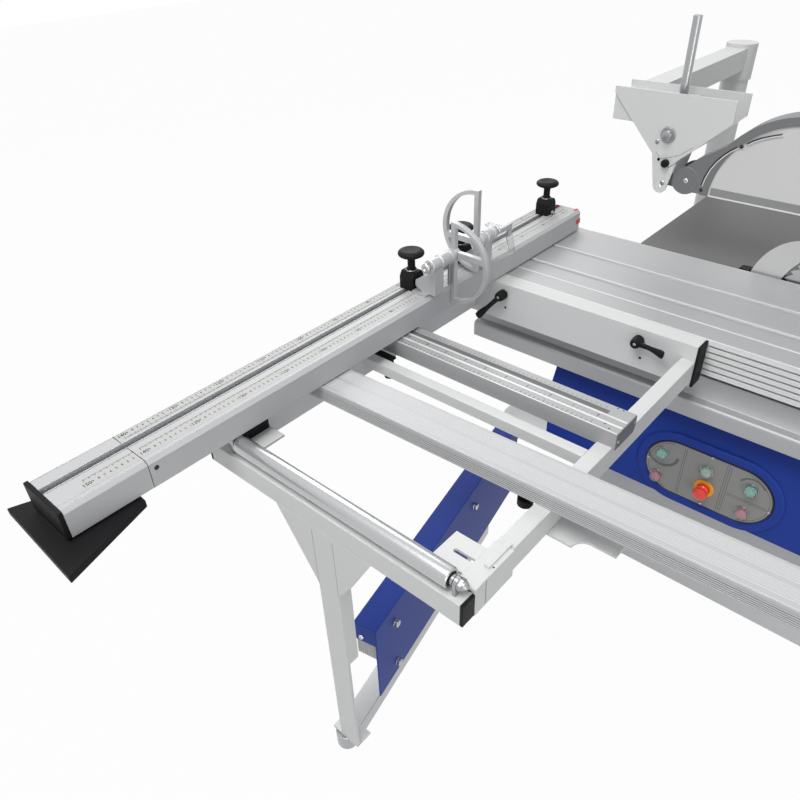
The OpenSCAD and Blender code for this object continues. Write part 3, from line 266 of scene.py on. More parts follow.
# %% [markdown]
# Every finish starts from two layers of noise on Object coordinates. The fine layer is the grain of
# the finish itself, orange peel in powder coat or sanding lines in drawn metal. The broad layer is
# for the tone, because no real surface is one flat colour.

# %% Grain and tone
GRAIN_DEPTH = 0.0004
DRIFT_SCALE = 5.0


def noise_layers(nt, grain, stretch):
    """The fine noise of the grain, stretched along an axis, and the broad noise of the tone."""
    coords = nt.nodes.new("ShaderNodeTexCoord")
    place = nt.nodes.new("ShaderNodeMapping")
    place.inputs["Scale"].default_value = stretch
    fine = nt.nodes.new("ShaderNodeTexNoise")
    fine.inputs["Scale"].default_value = grain
    fine.inputs["Detail"].default_value = 3.0
    broad = nt.nodes.new("ShaderNodeTexNoise")
    broad.inputs["Scale"].default_value = DRIFT_SCALE
    broad.inputs["Detail"].default_value = 2.0
    nt.links.new(coords.outputs["Object"], place.inputs["Vector"])
    nt.links.new(place.outputs[0], fine.inputs["Vector"])
    nt.links.new(coords.outputs["Object"], broad.inputs["Vector"])
    return fine, broad


print("grain depth", GRAIN_DEPTH, "m, tone drift scale", DRIFT_SCALE)

# %% [markdown]
# One Principled shader takes both layers. The grain feeds bump and roughness, and the broad layer mixes
# a darker and a lighter tone of the colour. Finishes differ only in how strong each of these is.

# %% One finish
def finish(name, colour, metallic=0.0, rough=(0.35, 0.5), grain=900.0, stretch=(1, 1, 1), bump=0.05,
           drift=0.06, coat=0.0, specular=0.5):
    """A surface: its colour, how metallic it is, and how its grain lies."""
    mat = bpy.data.materials.new(name)
    mat.use_nodes = True
    nt = mat.node_tree
    bsdf = nt.nodes["Principled BSDF"]
    bsdf.inputs["Metallic"].default_value = metallic
    bsdf.inputs["Coat Weight"].default_value = coat
    bsdf.inputs["Specular IOR Level"].default_value = specular
    fine, broad = noise_layers(nt, grain, stretch)
    to_rough = nt.nodes.new("ShaderNodeMapRange")
    to_rough.inputs["To Min"].default_value = rough[0]
    to_rough.inputs["To Max"].default_value = rough[1]
    tint = nt.nodes.new("ShaderNodeMix")
    tint.data_type = "RGBA"
    tint.inputs["A"].default_value = tuple(c * (1 - drift) for c in colour[:3]) + (1,)
    tint.inputs["B"].default_value = tuple(min(1, c * (1 + drift)) for c in colour[:3]) + (1,)
    relief = nt.nodes.new("ShaderNodeBump")
    relief.inputs["Strength"].default_value = bump
    relief.inputs["Distance"].default_value = GRAIN_DEPTH
    nt.links.new(fine.outputs["Fac"], to_rough.inputs["Value"])
    nt.links.new(broad.outputs["Fac"], tint.inputs["Factor"])
    nt.links.new(tint.outputs["Result"], bsdf.inputs["Base Color"])
    nt.links.new(to_rough.outputs["Result"], bsdf.inputs["Roughness"])
    nt.links.new(fine.outputs["Fac"], relief.inputs["Height"])
    nt.links.new(relief.outputs[0], bsdf.inputs["Normal"])
    return mat


print("finish() takes a name, a tone and the strength of both layers")

# %% [markdown]
# Powder coat covers the sheet and the tubes: even, a little pebbled, with a soft shine. Castings are
# rougher and their bumps larger. The guard has its own greys.

# %% Painted and cast finishes
BLUE = finish("blue_powder_coat", tone(34, 60, 146), rough=(0.42, 0.52), grain=1400, bump=0.05,
              specular=0.16)
GREY = finish("grey_powder_coat", tone(212, 213, 213), rough=(0.36, 0.48), grain=1400, bump=0.05,
              drift=0.01)
DARK = finish("dark_casting", tone(96, 98, 100), rough=(0.45, 0.62), grain=700, bump=0.25)
GUARD = finish("guard_grey_paint", tone(116, 117, 118), rough=(0.34, 0.46), grain=1100, bump=0.12,
               drift=0.03)
SIDE_PANEL = finish("guard_side_panel", tone(208, 208, 208), rough=(0.25, 0.35), grain=300, bump=0.02,
                    drift=0.02)
GUARD_SKIRT = finish("guard_skirt", tone(140, 141, 142), rough=(0.4, 0.5), grain=900, bump=0.03,
                     drift=0.02)
MOTOR = finish("motor_paint", tone(84, 92, 108), rough=(0.4, 0.5), grain=900, bump=0.1)
PLATE = finish("panel_plate", tone(138, 138, 136), rough=(0.42, 0.52), grain=1500, bump=0.06, drift=0.02)
print("finishes so far:", len(bpy.data.materials))

# %% [markdown]
# Drawn aluminium shows fine lines along the length of the bar, so its grain is stretched along that
# axis. An anodised skin scatters most of the light, so those finishes are only partly metallic, while
# turned steel is wholly so.

# %% Bare metal
IRON = finish("ground_cast_iron", tone(106, 106, 106), metallic=0.35, rough=(0.42, 0.60), grain=420,
              stretch=(0.06, 1, 1), bump=0.06, drift=0.05)
ANODISED = finish("anodised_profile", tone(190, 191, 192), metallic=0.12, rough=(0.48, 0.54), grain=900,
                  stretch=(0.03, 1, 1), bump=0.004, drift=0.01, specular=0.3)
ANODISED_Y = finish("anodised_profile_long", tone(172, 173, 174), metallic=0.3, rough=(0.42, 0.48),
                    grain=900, stretch=(1, 0.03, 1), bump=0.01, drift=0.01)
SLIDE = finish("sliding_table_aluminium", tone(186, 187, 188), metallic=0.5, rough=(0.40, 0.46),
               grain=900, stretch=(1, 0.02, 1), bump=0.01, drift=0.01)
CAST_ALU = finish("polished_casting", tone(194, 195, 196), metallic=0.45, rough=(0.34, 0.42), grain=900,
                  bump=0.005, drift=0.02)
STEEL = finish("turned_steel", tone(168, 169, 171), metallic=1.0, rough=(0.24, 0.38), grain=1100,
               stretch=(1, 1, 0.1), bump=0.05)
CHROME = finish("polished_roller", tone(188, 189, 190), metallic=0.9, rough=(0.25, 0.29), grain=1200,
                stretch=(1, 0.02, 1), bump=0.003, drift=0.01)
BLADE = finish("ground_blade", tone(190, 190, 192), metallic=0.9, rough=(0.26, 0.40), grain=800,
               bump=0.05)
RIBBED = finish("ribbed_aluminium", tone(190, 191, 192), metallic=0.12, rough=(0.48, 0.54), grain=900,
                stretch=(1, 0.03, 1), bump=0.004, drift=0.01, specular=0.3)
# The ribs are the same aluminium in a lighter tone: a painted highlight along them.
RIB_HIGHLIGHT = finish("painted_rib_highlight", tone(206, 207, 208), metallic=0.0, rough=(0.50, 0.56), grain=900, bump=0.004,
             drift=0.01, specular=0.3)
# A bright finish for ridges, beads and lips: a painted highlight where their edges catch the light.
EDGE_HIGHLIGHT = finish("painted_edge_highlight", tone(232, 232, 232), metallic=0.2, rough=(0.30, 0.38), grain=1200, bump=0.01,
              drift=0.01)
KNIFE = finish("riving_knife_steel", tone(206, 206, 206), metallic=0.35, rough=(0.36, 0.46), grain=900,
               bump=0.02)
END_PLATE = finish("end_plate", tone(112, 113, 114), rough=(0.4, 0.5), grain=900, bump=0.05)
print("finishes so far:", len(bpy.data.materials))

# %% [markdown]
# Mouldings are dull and nearly black. The buttons are glossy, so they carry a thin clear coat.

# %% Plastic, rubber and buttons
BLACK = finish("black_moulding", tone(20, 20, 22), rough=(0.50, 0.60), grain=1600, bump=0.12,
               specular=0.16)
RUBBER = finish("black_rubber", tone(26, 26, 26), rough=(0.65, 0.8), grain=900, bump=0.2, specular=0.3)
RED = finish("red_end_piece", tone(206, 42, 44), rough=(0.32, 0.42), grain=1200, bump=0.08)
GREEN = finish("green_button", tone(96, 176, 160), rough=(0.22, 0.32), grain=500, bump=0.03, coat=0.3)
PINK = finish("red_button", tone(188, 84, 108), rough=(0.22, 0.32), grain=500, bump=0.03, coat=0.3)
PALE = finish("pale_button", tone(150, 182, 168), rough=(0.22, 0.32), grain=500, bump=0.03, coat=0.3)
STOP_RED = finish("emergency_red", tone(232, 58, 40), rough=(0.24, 0.34), grain=500, bump=0.03, coat=0.4)
YELLOW = finish("warning_yellow", tone(232, 158, 28), rough=(0.35, 0.45), grain=700, bump=0.03)
print("finishes so far:", len(bpy.data.materials))

# %% [markdown]
# Ink and scale strips are thin pieces of their own, and so are the darker strips, blocks and discs that
# paint the shade in slots, holes, seams and between ribs. Each gets a quiet finish, so that it reads as
# a line and not as a part.

# %% Print, and painted shade in slots, seams and grooves
INK = finish("scale_ink", tone(46, 46, 50), rough=(0.5, 0.6), grain=900, bump=0.02)
SCALE = finish("scale_strip", tone(190, 190, 188), rough=(0.50, 0.56), grain=1300, stretch=(0.05, 1, 1),
               bump=0.01, drift=0.01, specular=0.25)
SHADOW = finish("slot_shadow", tone(40, 40, 42), rough=(0.7, 0.8), grain=600, bump=0.02)
# A darker tone of the same aluminium behind the side ribs: painted shade between them.
GROOVE_SHADE = finish("painted_groove_shade", tone(128, 129, 130), rough=(0.5, 0.6), grain=900, bump=0.004, drift=0.01)
# Thin strips along seams and fold lines: painted shade.
SEAM_SHADE = finish("seam_shade", tone(150, 151, 152), rough=(0.6, 0.7), grain=600, bump=0.02, drift=0.02)
# A darker block at the ground of a slot: painted shade.
SLOT_SHADE = finish("slot_shade", tone(104, 105, 106), rough=(0.5, 0.6), grain=900, bump=0.02)
print("finishes so far:", len(bpy.data.materials))

# %% [markdown]
# Clear plastic lets most light through and bends it only slightly. Its surface is almost smooth, with
# the faint waviness that a moulding has.

# %% Clear plastic
def clear_plastic():
    """See-through cap plastic."""
    mat = finish("clear_cap", tone(236, 240, 238), rough=(0.03, 0.08), grain=120, bump=0.03, drift=0.01)
    bsdf = mat.node_tree.nodes["Principled BSDF"]
    bsdf.inputs["Transmission Weight"].default_value = 0.92
    bsdf.inputs["IOR"].default_value = 1.3
    return mat


CLEAR = clear_plastic()
print("finishes in all:", len(bpy.data.materials))

# %% [markdown]
# Every piece ends in the same way: its millimetres become metres, its large faces are kept flat in the
# light by weighted normals, and it is told which body it rides on. Doing that in one function keeps
# the steps below short, and it prints each piece as it is made.

# %% The end of every piece
CREASE = 38


def shade(obj):
    """Smooth shading with sharp creases kept, and flat faces kept flat."""
    obj.data.shade_smooth()
    obj.data.set_sharp_from_angle(angle=math.radians(CREASE))
    weighted = obj.modifiers.new("weighted", "WEIGHTED_NORMAL")
    weighted.keep_sharp = True


def make(bm, name, material, body, slot, stands_for=()):
    """Turns a bmesh in millimetres into a finished piece in metres that rides on its body."""
    bmesh.ops.transform(bm, matrix=Matrix.Scale(MM, 4), verts=bm.verts)
    mesh = bpy.data.meshes.new(name)
    bm.to_mesh(mesh)
    bm.free()
    mesh.materials.append(material)
    obj = bpy.data.objects.new(name, mesh)
    scene.collection.objects.link(obj)
    shade(obj)
    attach(obj, body)
    if stands_for:
        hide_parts(*stands_for)
    print(f"{name}: {len(mesh.polygons)} faces, rides on {body}")
    return obj


node_body = {n: b for b, members in frame["record"]["behaviour"]["bodies"].items() for n in members}
node_slot = {s["node"]: s["material_slot"] for s in frame["record"]["subparts"]}
print("nodes with a body:", len(node_body), "creases above", CREASE, "degrees")

# %% [markdown]
# A CAD surface meets its neighbour at a knife edge, and real metal never does. The copy of a node is
# merged, its flat triangles are joined again, and every edge sharper than 28 degrees is bevelled. A
# bevel operator is used because its width is a real size, the radius that a file or a mould leaves.

# %% Working copies and soft edges
MERGE_REACH = 0.002
FLAT_WITHIN = 0.5


def node_mesh(node):
    """A merged working copy of a CAD node, in millimetres, with its flat faces joined."""
    bm = bmesh.new()
    bm.from_mesh(nodes[node].data)
    bmesh.ops.transform(bm, matrix=Matrix.Scale(1 / MM, 4), verts=bm.verts)
    bmesh.ops.remove_doubles(bm, verts=bm.verts, dist=MERGE_REACH)
    bmesh.ops.dissolve_limit(bm, angle_limit=math.radians(FLAT_WITHIN), verts=bm.verts, edges=bm.edges)
    return bm


def soften(bm, width, segments=2, sharper_than=28):
    """Bevels the edges whose faces meet at more than the given angle."""
    limit = math.radians(sharper_than)
    sharp = [e for e in bm.edges if len(e.link_faces) == 2 and e.calc_face_angle(0) > limit]
    bmesh.ops.bevel(bm, geom=sharp, offset=width, offset_type="OFFSET", segments=segments, profile=0.5,
                    affect="EDGES", material=-1, clamp_overlap=True)


print("points merge within", MERGE_REACH, "mm")

# %% [markdown]
# Some nodes hold parts of another metal, such as the steel rails in the aluminium table. Those faces
# lie in a box of their own, so a zone names the box and the finish of what is inside it. The copy
# stands for its node, which stays in the physics model.

# %% A soft-edged copy of one node
def inside(face, low, high):
    """Whether the whole face lies in the box, with a little slack."""
    return all(low[i] - 0.1 <= v.co[i] <= high[i] + 0.1 for v in face.verts for i in range(3))


def soft_node(node, width, material, zones=()):
    """The soft-edged copy of one CAD node. A zone is a box with the finish of the faces inside it;
    where that finish is None, another piece draws them and the skin is closed again behind them."""
    bm = node_mesh(node)
    finishes = [material]
    for low, high, own in zones:
        faces = [f for f in bm.faces if inside(f, low, high)]
        if own is None:
            bmesh.ops.delete(bm, geom=faces, context="FACES")
            bmesh.ops.holes_fill(bm, edges=[e for e in bm.edges if e.is_boundary], sides=0)
            continue
        if own not in finishes:
            finishes.append(own)
        for face in faces:
            face.material_index = finishes.index(own)
    soften(bm, width)
    piece = make(bm, node + "_dressed", material, node_body[node], node_slot[node], [node])
    for extra in finishes[1:]:
        piece.data.materials.append(extra)
    return piece


def around(point, reach, own):
    """A zone that reaches equally far to all sides of a point."""
    return [c - reach for c in point], [c + reach for c in point], own


print("zone finishes are read in millimetres")

# %% [markdown]
# The zones of the machine and the tables are the rails, the screws, the rods and the black pads. Most
# come in rows or pairs, so they are made from the places where they stand.

# %% Zones of another metal
UPPER_RAILS = [((x, -1240, 807), (x + 16, 830, 818.5), STEEL) for x in (-336, -255)]
LOWER_RAILS = [((x, -800, 764.5), (x + 16, 800, 771.5), STEEL) for x in (-336, -255)]
ARM_BOLTS = [around(p, 14, STEEL) for p in ((-616, 582, 344), (-1031, 495, 348), (-1031, 495, 203))]
RODS = [((27, y - 13, 504), (53, y + 13, 851), STEEL) for y in (-80, 80)]
RAIL_FEET = [((x - 16, -542, 844), (x + 16, -508.5, 864), DARK) for x in (55, 495, 1015)]
EXTENSION_LEG = [((900, -60, -1), (1100, 60, 860.5), DARK), ((1009, -507, 859), (1061, 507, 898), DARK)]
FOOT_BOLT = [((-1229, 478, 119), (-1203, 504, 168), STEEL)]
BLACK_PADS = [((-985, 222, 829), (-955, 252, 866.5), BLACK), ((-816, 684, 811), (-792, 738, 863), BLACK),
              ((-1184, 702, 865.9), (-1133, 724, 903), BLACK)]
print("rail zones:", len(UPPER_RAILS + LOWER_RAILS), "pads:", len(BLACK_PADS))

# %% [markdown]
# The fence, its stops and the guard have zones too. The pivot block is cut from the copy of the fence,
# because it is drawn again below with its chamfered shoulders.

# %% Zones of the fence, the stops and the guard
PIVOT_BLOCK = [((-121.5, 731, 956.9), (-80.5, 770, 1001), None)]
RIP_BLOCK = [((944, -596, 823), (1066, -526, 930.5), DARK), ((1030, -600, 929.5), (1060, -550, 991), BLACK)]
SHAFT_1 = [((-697, 670, 1029), (-606.1, 684, 1043), CHROME)]
SHAFT_2 = [((-514.1, 670, 1029), (-443, 684, 1043), CHROME)]
HOOD_SIDES = [((-29.5, -300, 1065), (-25.5, 400, 1260), SIDE_PANEL),
              ((25.5, -300, 1065), (29.5, 400, 1260), SIDE_PANEL)]
HOOD_ROD = [((-11, 460, 1086), (11, 482, 1441), STEEL)]
print("guard zones:", len(HOOD_SIDES + HOOD_ROD))

# %% [markdown]
# Folded sheet has wide soft bends, cut tube and drawn profiles have small ones, and a casting lies
# between them. The width beside each node is that radius in millimetres.

# %% Soft-edged copies of the machine and the tables
SOFT_MACHINE = {
    "upper_housing": (2.5, BLUE, []), "lower_cabinet": (2.0, GREY, []),
    "extension_table": (1.2, GREY, EXTENSION_LEG), "main_table": (1.5, IRON, []),
    "support_blocks": (2.5, DARK, []), "guide_beam": (1.2, ANODISED_Y, LOWER_RAILS),
    "sliding_table": (0.9, SLIDE, UPPER_RAILS), "arm_bracket": (1.2, GREY, []),
    "guard_post": (1.2, GREY, []),
}
for node, (width, material, zones) in SOFT_MACHINE.items():
    soft_node(node, width, material, zones)
print("soft copies of the machine:", len(SOFT_MACHINE))

# %% [markdown]
# The outrigger is welded from square tube. Its edges are rolled, so the highlight along each edge is
# narrow but never missing.

# %% Soft-edged copies of the outrigger and its arms
SOFT_OUTRIGGER = {
    "clamp_beam": (2.0, GREY, []), "cross_tubes": (1.4, GREY, []), "outer_tube": (1.4, GREY, []),
    "black_caps": (1.6, BLACK, []), "thin_tube": (1.6, GREY, []), "mitre_bar": (0.8, ANODISED_Y, []),
    "support_post": (1.4, GREY, FOOT_BOLT), "outrigger_plates": (0.8, GREY, BLACK_PADS),
    "swing_arm": (1.6, BLUE, ARM_BOLTS), "inner_arm": (1.6, STEEL, []),
}
for node, (width, material, zones) in SOFT_OUTRIGGER.items():
    soft_node(node, width, material, zones)
print("soft copies of the outrigger:", len(SOFT_OUTRIGGER))

# %% [markdown]
# The fences are drawn profiles. The sawing unit below the table and the guard above it are castings
# and welded parts, with larger radii.

# %% Soft-edged copies of the fences, the sawing unit and the guard
SOFT_FENCES = {
    "fence_profile": (0.9, ANODISED, PIVOT_BLOCK), "fence_extension": (0.9, ANODISED, []),
    "fence_support": (2.2, BLACK, []), "trolley_frame": (1.0, DARK, []),
    "table_fittings": (1.5, BLACK, []), "rip_rail": (1.0, STEEL, RAIL_FEET),
    "rip_fence": (2.0, ANODISED, RIP_BLOCK), "guard_boom": (1.5, GREY, []),
    "tilt_carriage": (1.5, DARK, RODS), "rise_slide": (2.0, DARK, []), "saw_motor": (2.0, MOTOR, []),
    "scoring_unit": (1.5, DARK, []), "stop_flag_1": (2.6, CAST_ALU, SHAFT_1),
    "stop_flag_2": (2.6, CAST_ALU, SHAFT_2), "guard_hood": (1.2, GUARD, HOOD_SIDES + HOOD_ROD),
}
for node, (width, material, zones) in SOFT_FENCES.items():
    soft_node(node, width, material, zones)
print("soft copies of the fences and the guard:", len(SOFT_FENCES))

# %% [markdown]
# A few nodes keep their own mesh, because they are hidden, round, or drawn again below. They only get
# a finish. The nodes that are drawn again carry it as well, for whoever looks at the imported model.

# %% Finishes of the nodes whose own mesh stays
KEPT = {
    "table_insert": BLACK, "trunnions": DARK, "trolley_rollers_front": STEEL,
    "trolley_rollers_rear": STEEL, "riving_knife": KNIFE, "drive_belt": RUBBER, "motor_pulley": STEEL,
    "saw_blade": BLADE, "scoring_blade": BLADE, "control_panel": PLATE, "roller_mounts": STEEL,
    "support_roller": CHROME, "clamp_lever_1": BLACK, "clamp_lever_2": BLACK, "fence_knob": BLACK,
    "stop_knob_1": BLACK, "stop_knob_2": BLACK, "stop_body_1": CAST_ALU, "stop_body_2": CAST_ALU,
    "start_button_1": GREEN, "stop_button_1": PINK, "pilot_button": PALE,
    "start_button_2": GREEN, "stop_button_2": PINK, "emergency_stop": STOP_RED,
}
for node, material in KEPT.items():
    mesh = nodes[node].data
    mesh.materials.clear()
    mesh.materials.append(material)
print("nodes with a new finish:", len(KEPT))

# %% [markdown]
# Small parts are drawn the way a workshop would make them. The first way is an outline that is cut and
# pulled out along one axis, like sheet or bar that is sawn to length.

# %% Outlines pulled out
AXES = {"X": (1, 2, 0), "Y": (0, 2, 1), "Z": (0, 1, 2)}


def sorted_box(one, other):
    """Two opposite corners as the low and the high corner."""
    return [min(pair) for pair in zip(one, other)], [max(pair) for pair in zip(one, other)]


def prism(bm, outline, along, start, end):
    """An outline in the two other axes, pulled out along one axis."""
    first, second, third = AXES[along]
    corners = []
    for a, b in outline:
        place = [0.0, 0.0, 0.0]
        place[first], place[second], place[third] = a, b, start
        corners.append(bm.verts.new(place))
    face = bm.faces.new(corners)
    moved = bmesh.ops.extrude_face_region(bm, geom=[face])["geom"]
    fresh = [v for v in moved if isinstance(v, bmesh.types.BMVert)]
    step = [0.0, 0.0, 0.0]
    step[third] = end - start
    bmesh.ops.translate(bm, verts=fresh, vec=step)
    return corners + fresh


print("prisms run along", ", ".join(AXES))

# %% [markdown]
# The second way is a block that is milled to its size. Its edges are bevelled where it is large enough
# for them to be seen; printed lines are blocks without a bevel.

# %% Blocks
def block(bm, low, high, edge=0.0, segments=2):
    """A milled block from its low to its high corner with bevelled edges."""
    middle = (Vector(low) + Vector(high)) / 2
    size = Vector(high) - Vector(low)
    cube = bmesh.ops.create_cube(bm, size=1.0)["verts"]
    bmesh.ops.transform(bm, matrix=Matrix.Translation(middle) @ Matrix.Diagonal((*size, 1)), verts=cube)
    if edge > 0:
        edges = list({e for v in cube for e in v.link_edges})
        bmesh.ops.bevel(bm, geom=edges, offset=edge, offset_type="OFFSET", segments=segments, profile=0.5,
                        affect="EDGES", material=-1)
    return cube


print("a block keeps sharp edges unless it is given an edge width")

# %% [markdown]
# Drawn profiles have grooves and hollow sections. A comb is the outline of a grooved face, and a
# hollow section joins an outer and an inner loop, so that the wall has its real thickness.

# %% Grooved and hollow sections
def comb(start, end, level, places, half, deep):
    """A level line from start to end with a small groove at each place."""
    way = math.copysign(half, end - start)
    points = [(start, level)]
    for at in places:
        points += [(at - way, level), (at - way / 2, level - deep),
                   (at + way / 2, level - deep), (at + way, level)]
    return points + [(end, level)]


def hollow(bm, outer, inner, along, start, end):
    """A hollow section pulled out along one axis, open at both ends."""
    first, second, third = AXES[along]
    rows = []
    for at in (start, end):
        edges = []
        for loop in (outer, inner):
            row = []
            for a, b in loop:
                place = [0.0, 0.0, 0.0]
                place[first], place[second], place[third] = a, b, at
                row.append(bm.verts.new(place))
            edges += [bm.edges.new((row[i], row[(i + 1) % len(row)])) for i in range(len(row))]
            rows.append(row)
        bmesh.ops.triangle_fill(bm, edges=edges, use_beauty=True)
    for near, far in ((rows[0], rows[2]), (rows[1], rows[3])):
        for i in range(len(near)):
            j = (i + 1) % len(near)
            bm.faces.new((near[i], near[j], far[j], far[i]))


print("a comb with one groove has", len(comb(0, 10, 0, [5], 1, 1)), "points")

# %% [markdown]
# Round parts are spun from their half section, just as a lathe makes them. Knobs, screws, the roller
# and the buttons all come from this one helper.

# %% Turned parts
def stand(point, axis):
    """The matrix that puts a shape drawn about local Z at a point, its Z along the axis."""
    turn = Vector(axis).to_track_quat("Z", "Y").to_matrix().to_4x4()
    return Matrix.Translation(point) @ turn


def turned(bm, half_section, point, axis, steps=40):
    """A round part from its half section, a list of radius and height."""
    verts = [bm.verts.new((r, 0.0, h)) for r, h in half_section]
    edges = [bm.edges.new(pair) for pair in zip(verts, verts[1:])]
    bmesh.ops.spin(bm, geom=verts + edges, cent=(0, 0, 0), axis=(0, 0, 1), dvec=(0, 0, 0),
                   angle=math.tau, steps=steps, use_merge=True, use_duplicate=False)
    reach = set(verts)
    front = set(verts)
    while front:
        front = {n for v in front for e in v.link_edges for n in e.verts} - reach
        reach |= front
    ring = list(reach)
    bmesh.ops.remove_doubles(bm, verts=ring, dist=0.001)
    ring = [v for v in ring if v.is_valid]
    bmesh.ops.transform(bm, matrix=stand(point, axis), verts=ring)
    return ring


print("a full turn is", round(math.degrees(math.tau)), "degrees")

# %% [markdown]
# A hexagon head is a six-sided cone with a soft edge, and a dot is a disc so flat that it reads as print;
# in a dark finish it is the painted shade of a hole. Every drawn piece has its faces turned outward
# before it is made.

# %% Hexagons, dots and faces turned outward
def hexagon(bm, point, axis, radius, height, edge=0.8):
    """A hexagon nut or bolt head standing on its point."""
    place = stand(point, axis) @ Matrix.Translation((0, 0, height / 2))
    head = bmesh.ops.create_cone(bm, cap_ends=True, segments=6, radius1=radius, radius2=radius,
                                 depth=height, matrix=place)["verts"]
    edges = list({e for v in head for e in v.link_edges})
    bmesh.ops.bevel(bm, geom=edges, offset=edge, segments=1, profile=0.5, affect="EDGES", material=-1)


def dot(bm, place, radius, way=-1, height=0.25, axis=0):
    """A flat round disc on a face, for print and for the painted shade of a hole."""
    normal = [0, 0, 0]
    normal[axis] = way
    turned(bm, [(0, 0), (radius, 0), (radius, height), (0, height)], place, normal, 20)


def closed(bm):
    """Turns every face outward."""
    bmesh.ops.recalc_face_normals(bm, faces=bm.faces)
    return bm


print("hexagon flats for a radius of 10 mm:", round(20 * math.cos(math.pi / 6), 1), "mm")

# %% [markdown]
# Scale numbers are text that becomes a thin mesh. Each number is made once and copied into place,
# because the same digits come back many times along the fence.

# %% Printed characters
LETTER_WEIGHT = 0.018
LETTER_DEPTH = 0.02
LETTER_MESHES = {}


def lettering(bm, text, size, matrix, depth=0.05):
    """Printed characters as a thin mesh, drawn upright in local XY and placed by the matrix."""
    if text not in LETTER_MESHES:
        curve = bpy.data.curves.new("print", "FONT")
        curve.body = text
        curve.align_x = "CENTER"
        curve.align_y = "CENTER"
        curve.resolution_u = 2
        curve.extrude = LETTER_DEPTH / 2
        curve.offset = LETTER_WEIGHT
        holder = bpy.data.objects.new("print", curve)
        LETTER_MESHES[text] = bpy.data.meshes.new_from_object(holder)
        bpy.data.objects.remove(holder)
    before = len(bm.verts)
    bm.from_mesh(LETTER_MESHES[text])
    bm.verts.ensure_lookup_table()
    fresh = bm.verts[before:]
    scale = Matrix.Diagonal((size, size, depth / LETTER_DEPTH, 1))
    bmesh.ops.transform(bm, matrix=matrix @ scale, verts=fresh)


print("letters are bolder by", LETTER_WEIGHT)

# %% [markdown]
# Curved lines, such as the slots of the hood and the rings on the panel, are rows of points with a
# width. An arc gives the points, and a strip gives the outline round them.

# %% Arcs and strips
def arc(centre, radius, start, end, steps):
    """Points on an arc, angles in degrees."""
    return [(centre[0] + radius * math.cos(math.radians(start + (end - start) * i / steps)),
             centre[1] + radius * math.sin(math.radians(start + (end - start) * i / steps)))
            for i in range(steps + 1)]


def strip(points, width):
    """The outline of a line of some width through a row of points."""
    left, right = [], []
    for i, point in enumerate(points):
        before = Vector(points[max(i - 1, 0)])
        after = Vector(points[min(i + 1, len(points) - 1)])
        side = (after - before).normalized()
        side = Vector((-side.y, side.x)) * width / 2
        left.append(tuple(Vector(point) + side))
        right.append(tuple(Vector(point) - side))
    return left + right[::-1]


print("a quarter arc in six steps has", len(arc((0, 0), 1, 0, 90, 6)), "points")

# %% [markdown]
# The support profile beside the frame is drawn with fine ribs on top and along its outer side. They
# let a panel glide. The hollow bar and its ribs are pulled out along one line, and the whole piece
# stands at a slight angle to the table, as it does in the photograph. The ribs are a lighter tone of
# the same aluminium, a painted highlight, and a darker strip behind the side ribs is painted shade.

# %% Ribbed profile
WIDTH = 82.0
WALL = 4.0
LOW = TUBE_TOP + 0.3
SKEW = 2.1
TOP_RIBS = (13, 18, 22.4, 27, 31.2, 35.6, 48, 53, 57.4, 62, 66.4, 71)
SIDE_RIBS = (869.5, 873.2, 877, 881, 885, 889.4)
outer = [(0, LOW), (0, TABLE - 2.2), (2.2, TABLE), (WIDTH - 3, TABLE), (WIDTH, TABLE - 2.2), (WIDTH, LOW)]
inner = [(WALL, LOW + WALL), (WALL, TABLE - 5), (WIDTH - WALL, TABLE - 5), (WIDTH - WALL, LOW + WALL)]
bm = bmesh.new()
hollow(bm, outer, inner, "Y", -707, 590)
ribs = bmesh.new()
for x in TOP_RIBS:
    block(ribs, (x - 1.2, -706.5, TABLE - 0.3), (x + 1.2, 589.5, TABLE + 0.25))
for z in SIDE_RIBS:
    block(ribs, (-0.4, -706.5, z - 0.9), (0.3, 589.5, z + 0.9))
block(ribs, (0.4, -706.5, TABLE - 1.9), (2.6, 589.5, TABLE + 0.15), 0.6)
# A darker strip behind the side ribs paints the shade between them.
grooves = bmesh.new()
block(grooves, (-0.08, -706.4, 868), (0.2, 589.4, 891.2))
place = Matrix.Translation((-992, 177, 0)) @ Matrix.Rotation(math.radians(SKEW), 4, "Z")
for shape in (bm, ribs, grooves):
    bmesh.ops.transform(shape, matrix=place, verts=shape.verts)
body, slot = node_body["ribbed_profile"], node_slot["ribbed_profile"]
make(closed(bm), "ribbed_profile_drawn", RIBBED, body, slot, ["ribbed_profile"])
make(closed(ribs), "profile_ribs", RIB_HIGHLIGHT, body, slot)
make(closed(grooves), "profile_groove_shade", GROOVE_SHADE, body, slot)
print("ribs on top and side:", len(TOP_RIBS), len(SIDE_RIBS))

# %% [markdown]
# The mitre bar has raised ridges and a slot for the stop. The ridges are thin blocks that stand a
# fraction of a millimetre proud, in a bright finish that is a painted highlight, and a darker block
# inside the slot is painted shade at its ground.

# %% Mitre bar ridges and slot
BAR_TOP = 898.0
bm = bmesh.new()
for x0, x1, high in ((-787.6, -785.2, 0.3), (-769, -764.4, 0.9), (-749, -745.2, 0.9)):
    block(bm, (x0, 173, BAR_TOP - 0.3), (x1, 766, BAR_TOP + high), 0.25)
make(closed(bm), "mitre_ridges", EDGE_HIGHLIGHT, "outrigger", "anodised")
# The darker block in the slot is painted shade.
bm = bmesh.new()
block(bm, (-741.8, 215.4, 892.0), (-730.2, 706.6, 896.4))
make(closed(bm), "mitre_slot_shade", SLOT_SHADE, "outrigger", "anodised")
print("mitre bar top", BAR_TOP)

# %% [markdown]
# The flat parts between the ridges carry printed divisions of 10 mm, with a longer line and a number at
# every fifth. The print is real geometry that stands about a tenth of a millimetre proud.

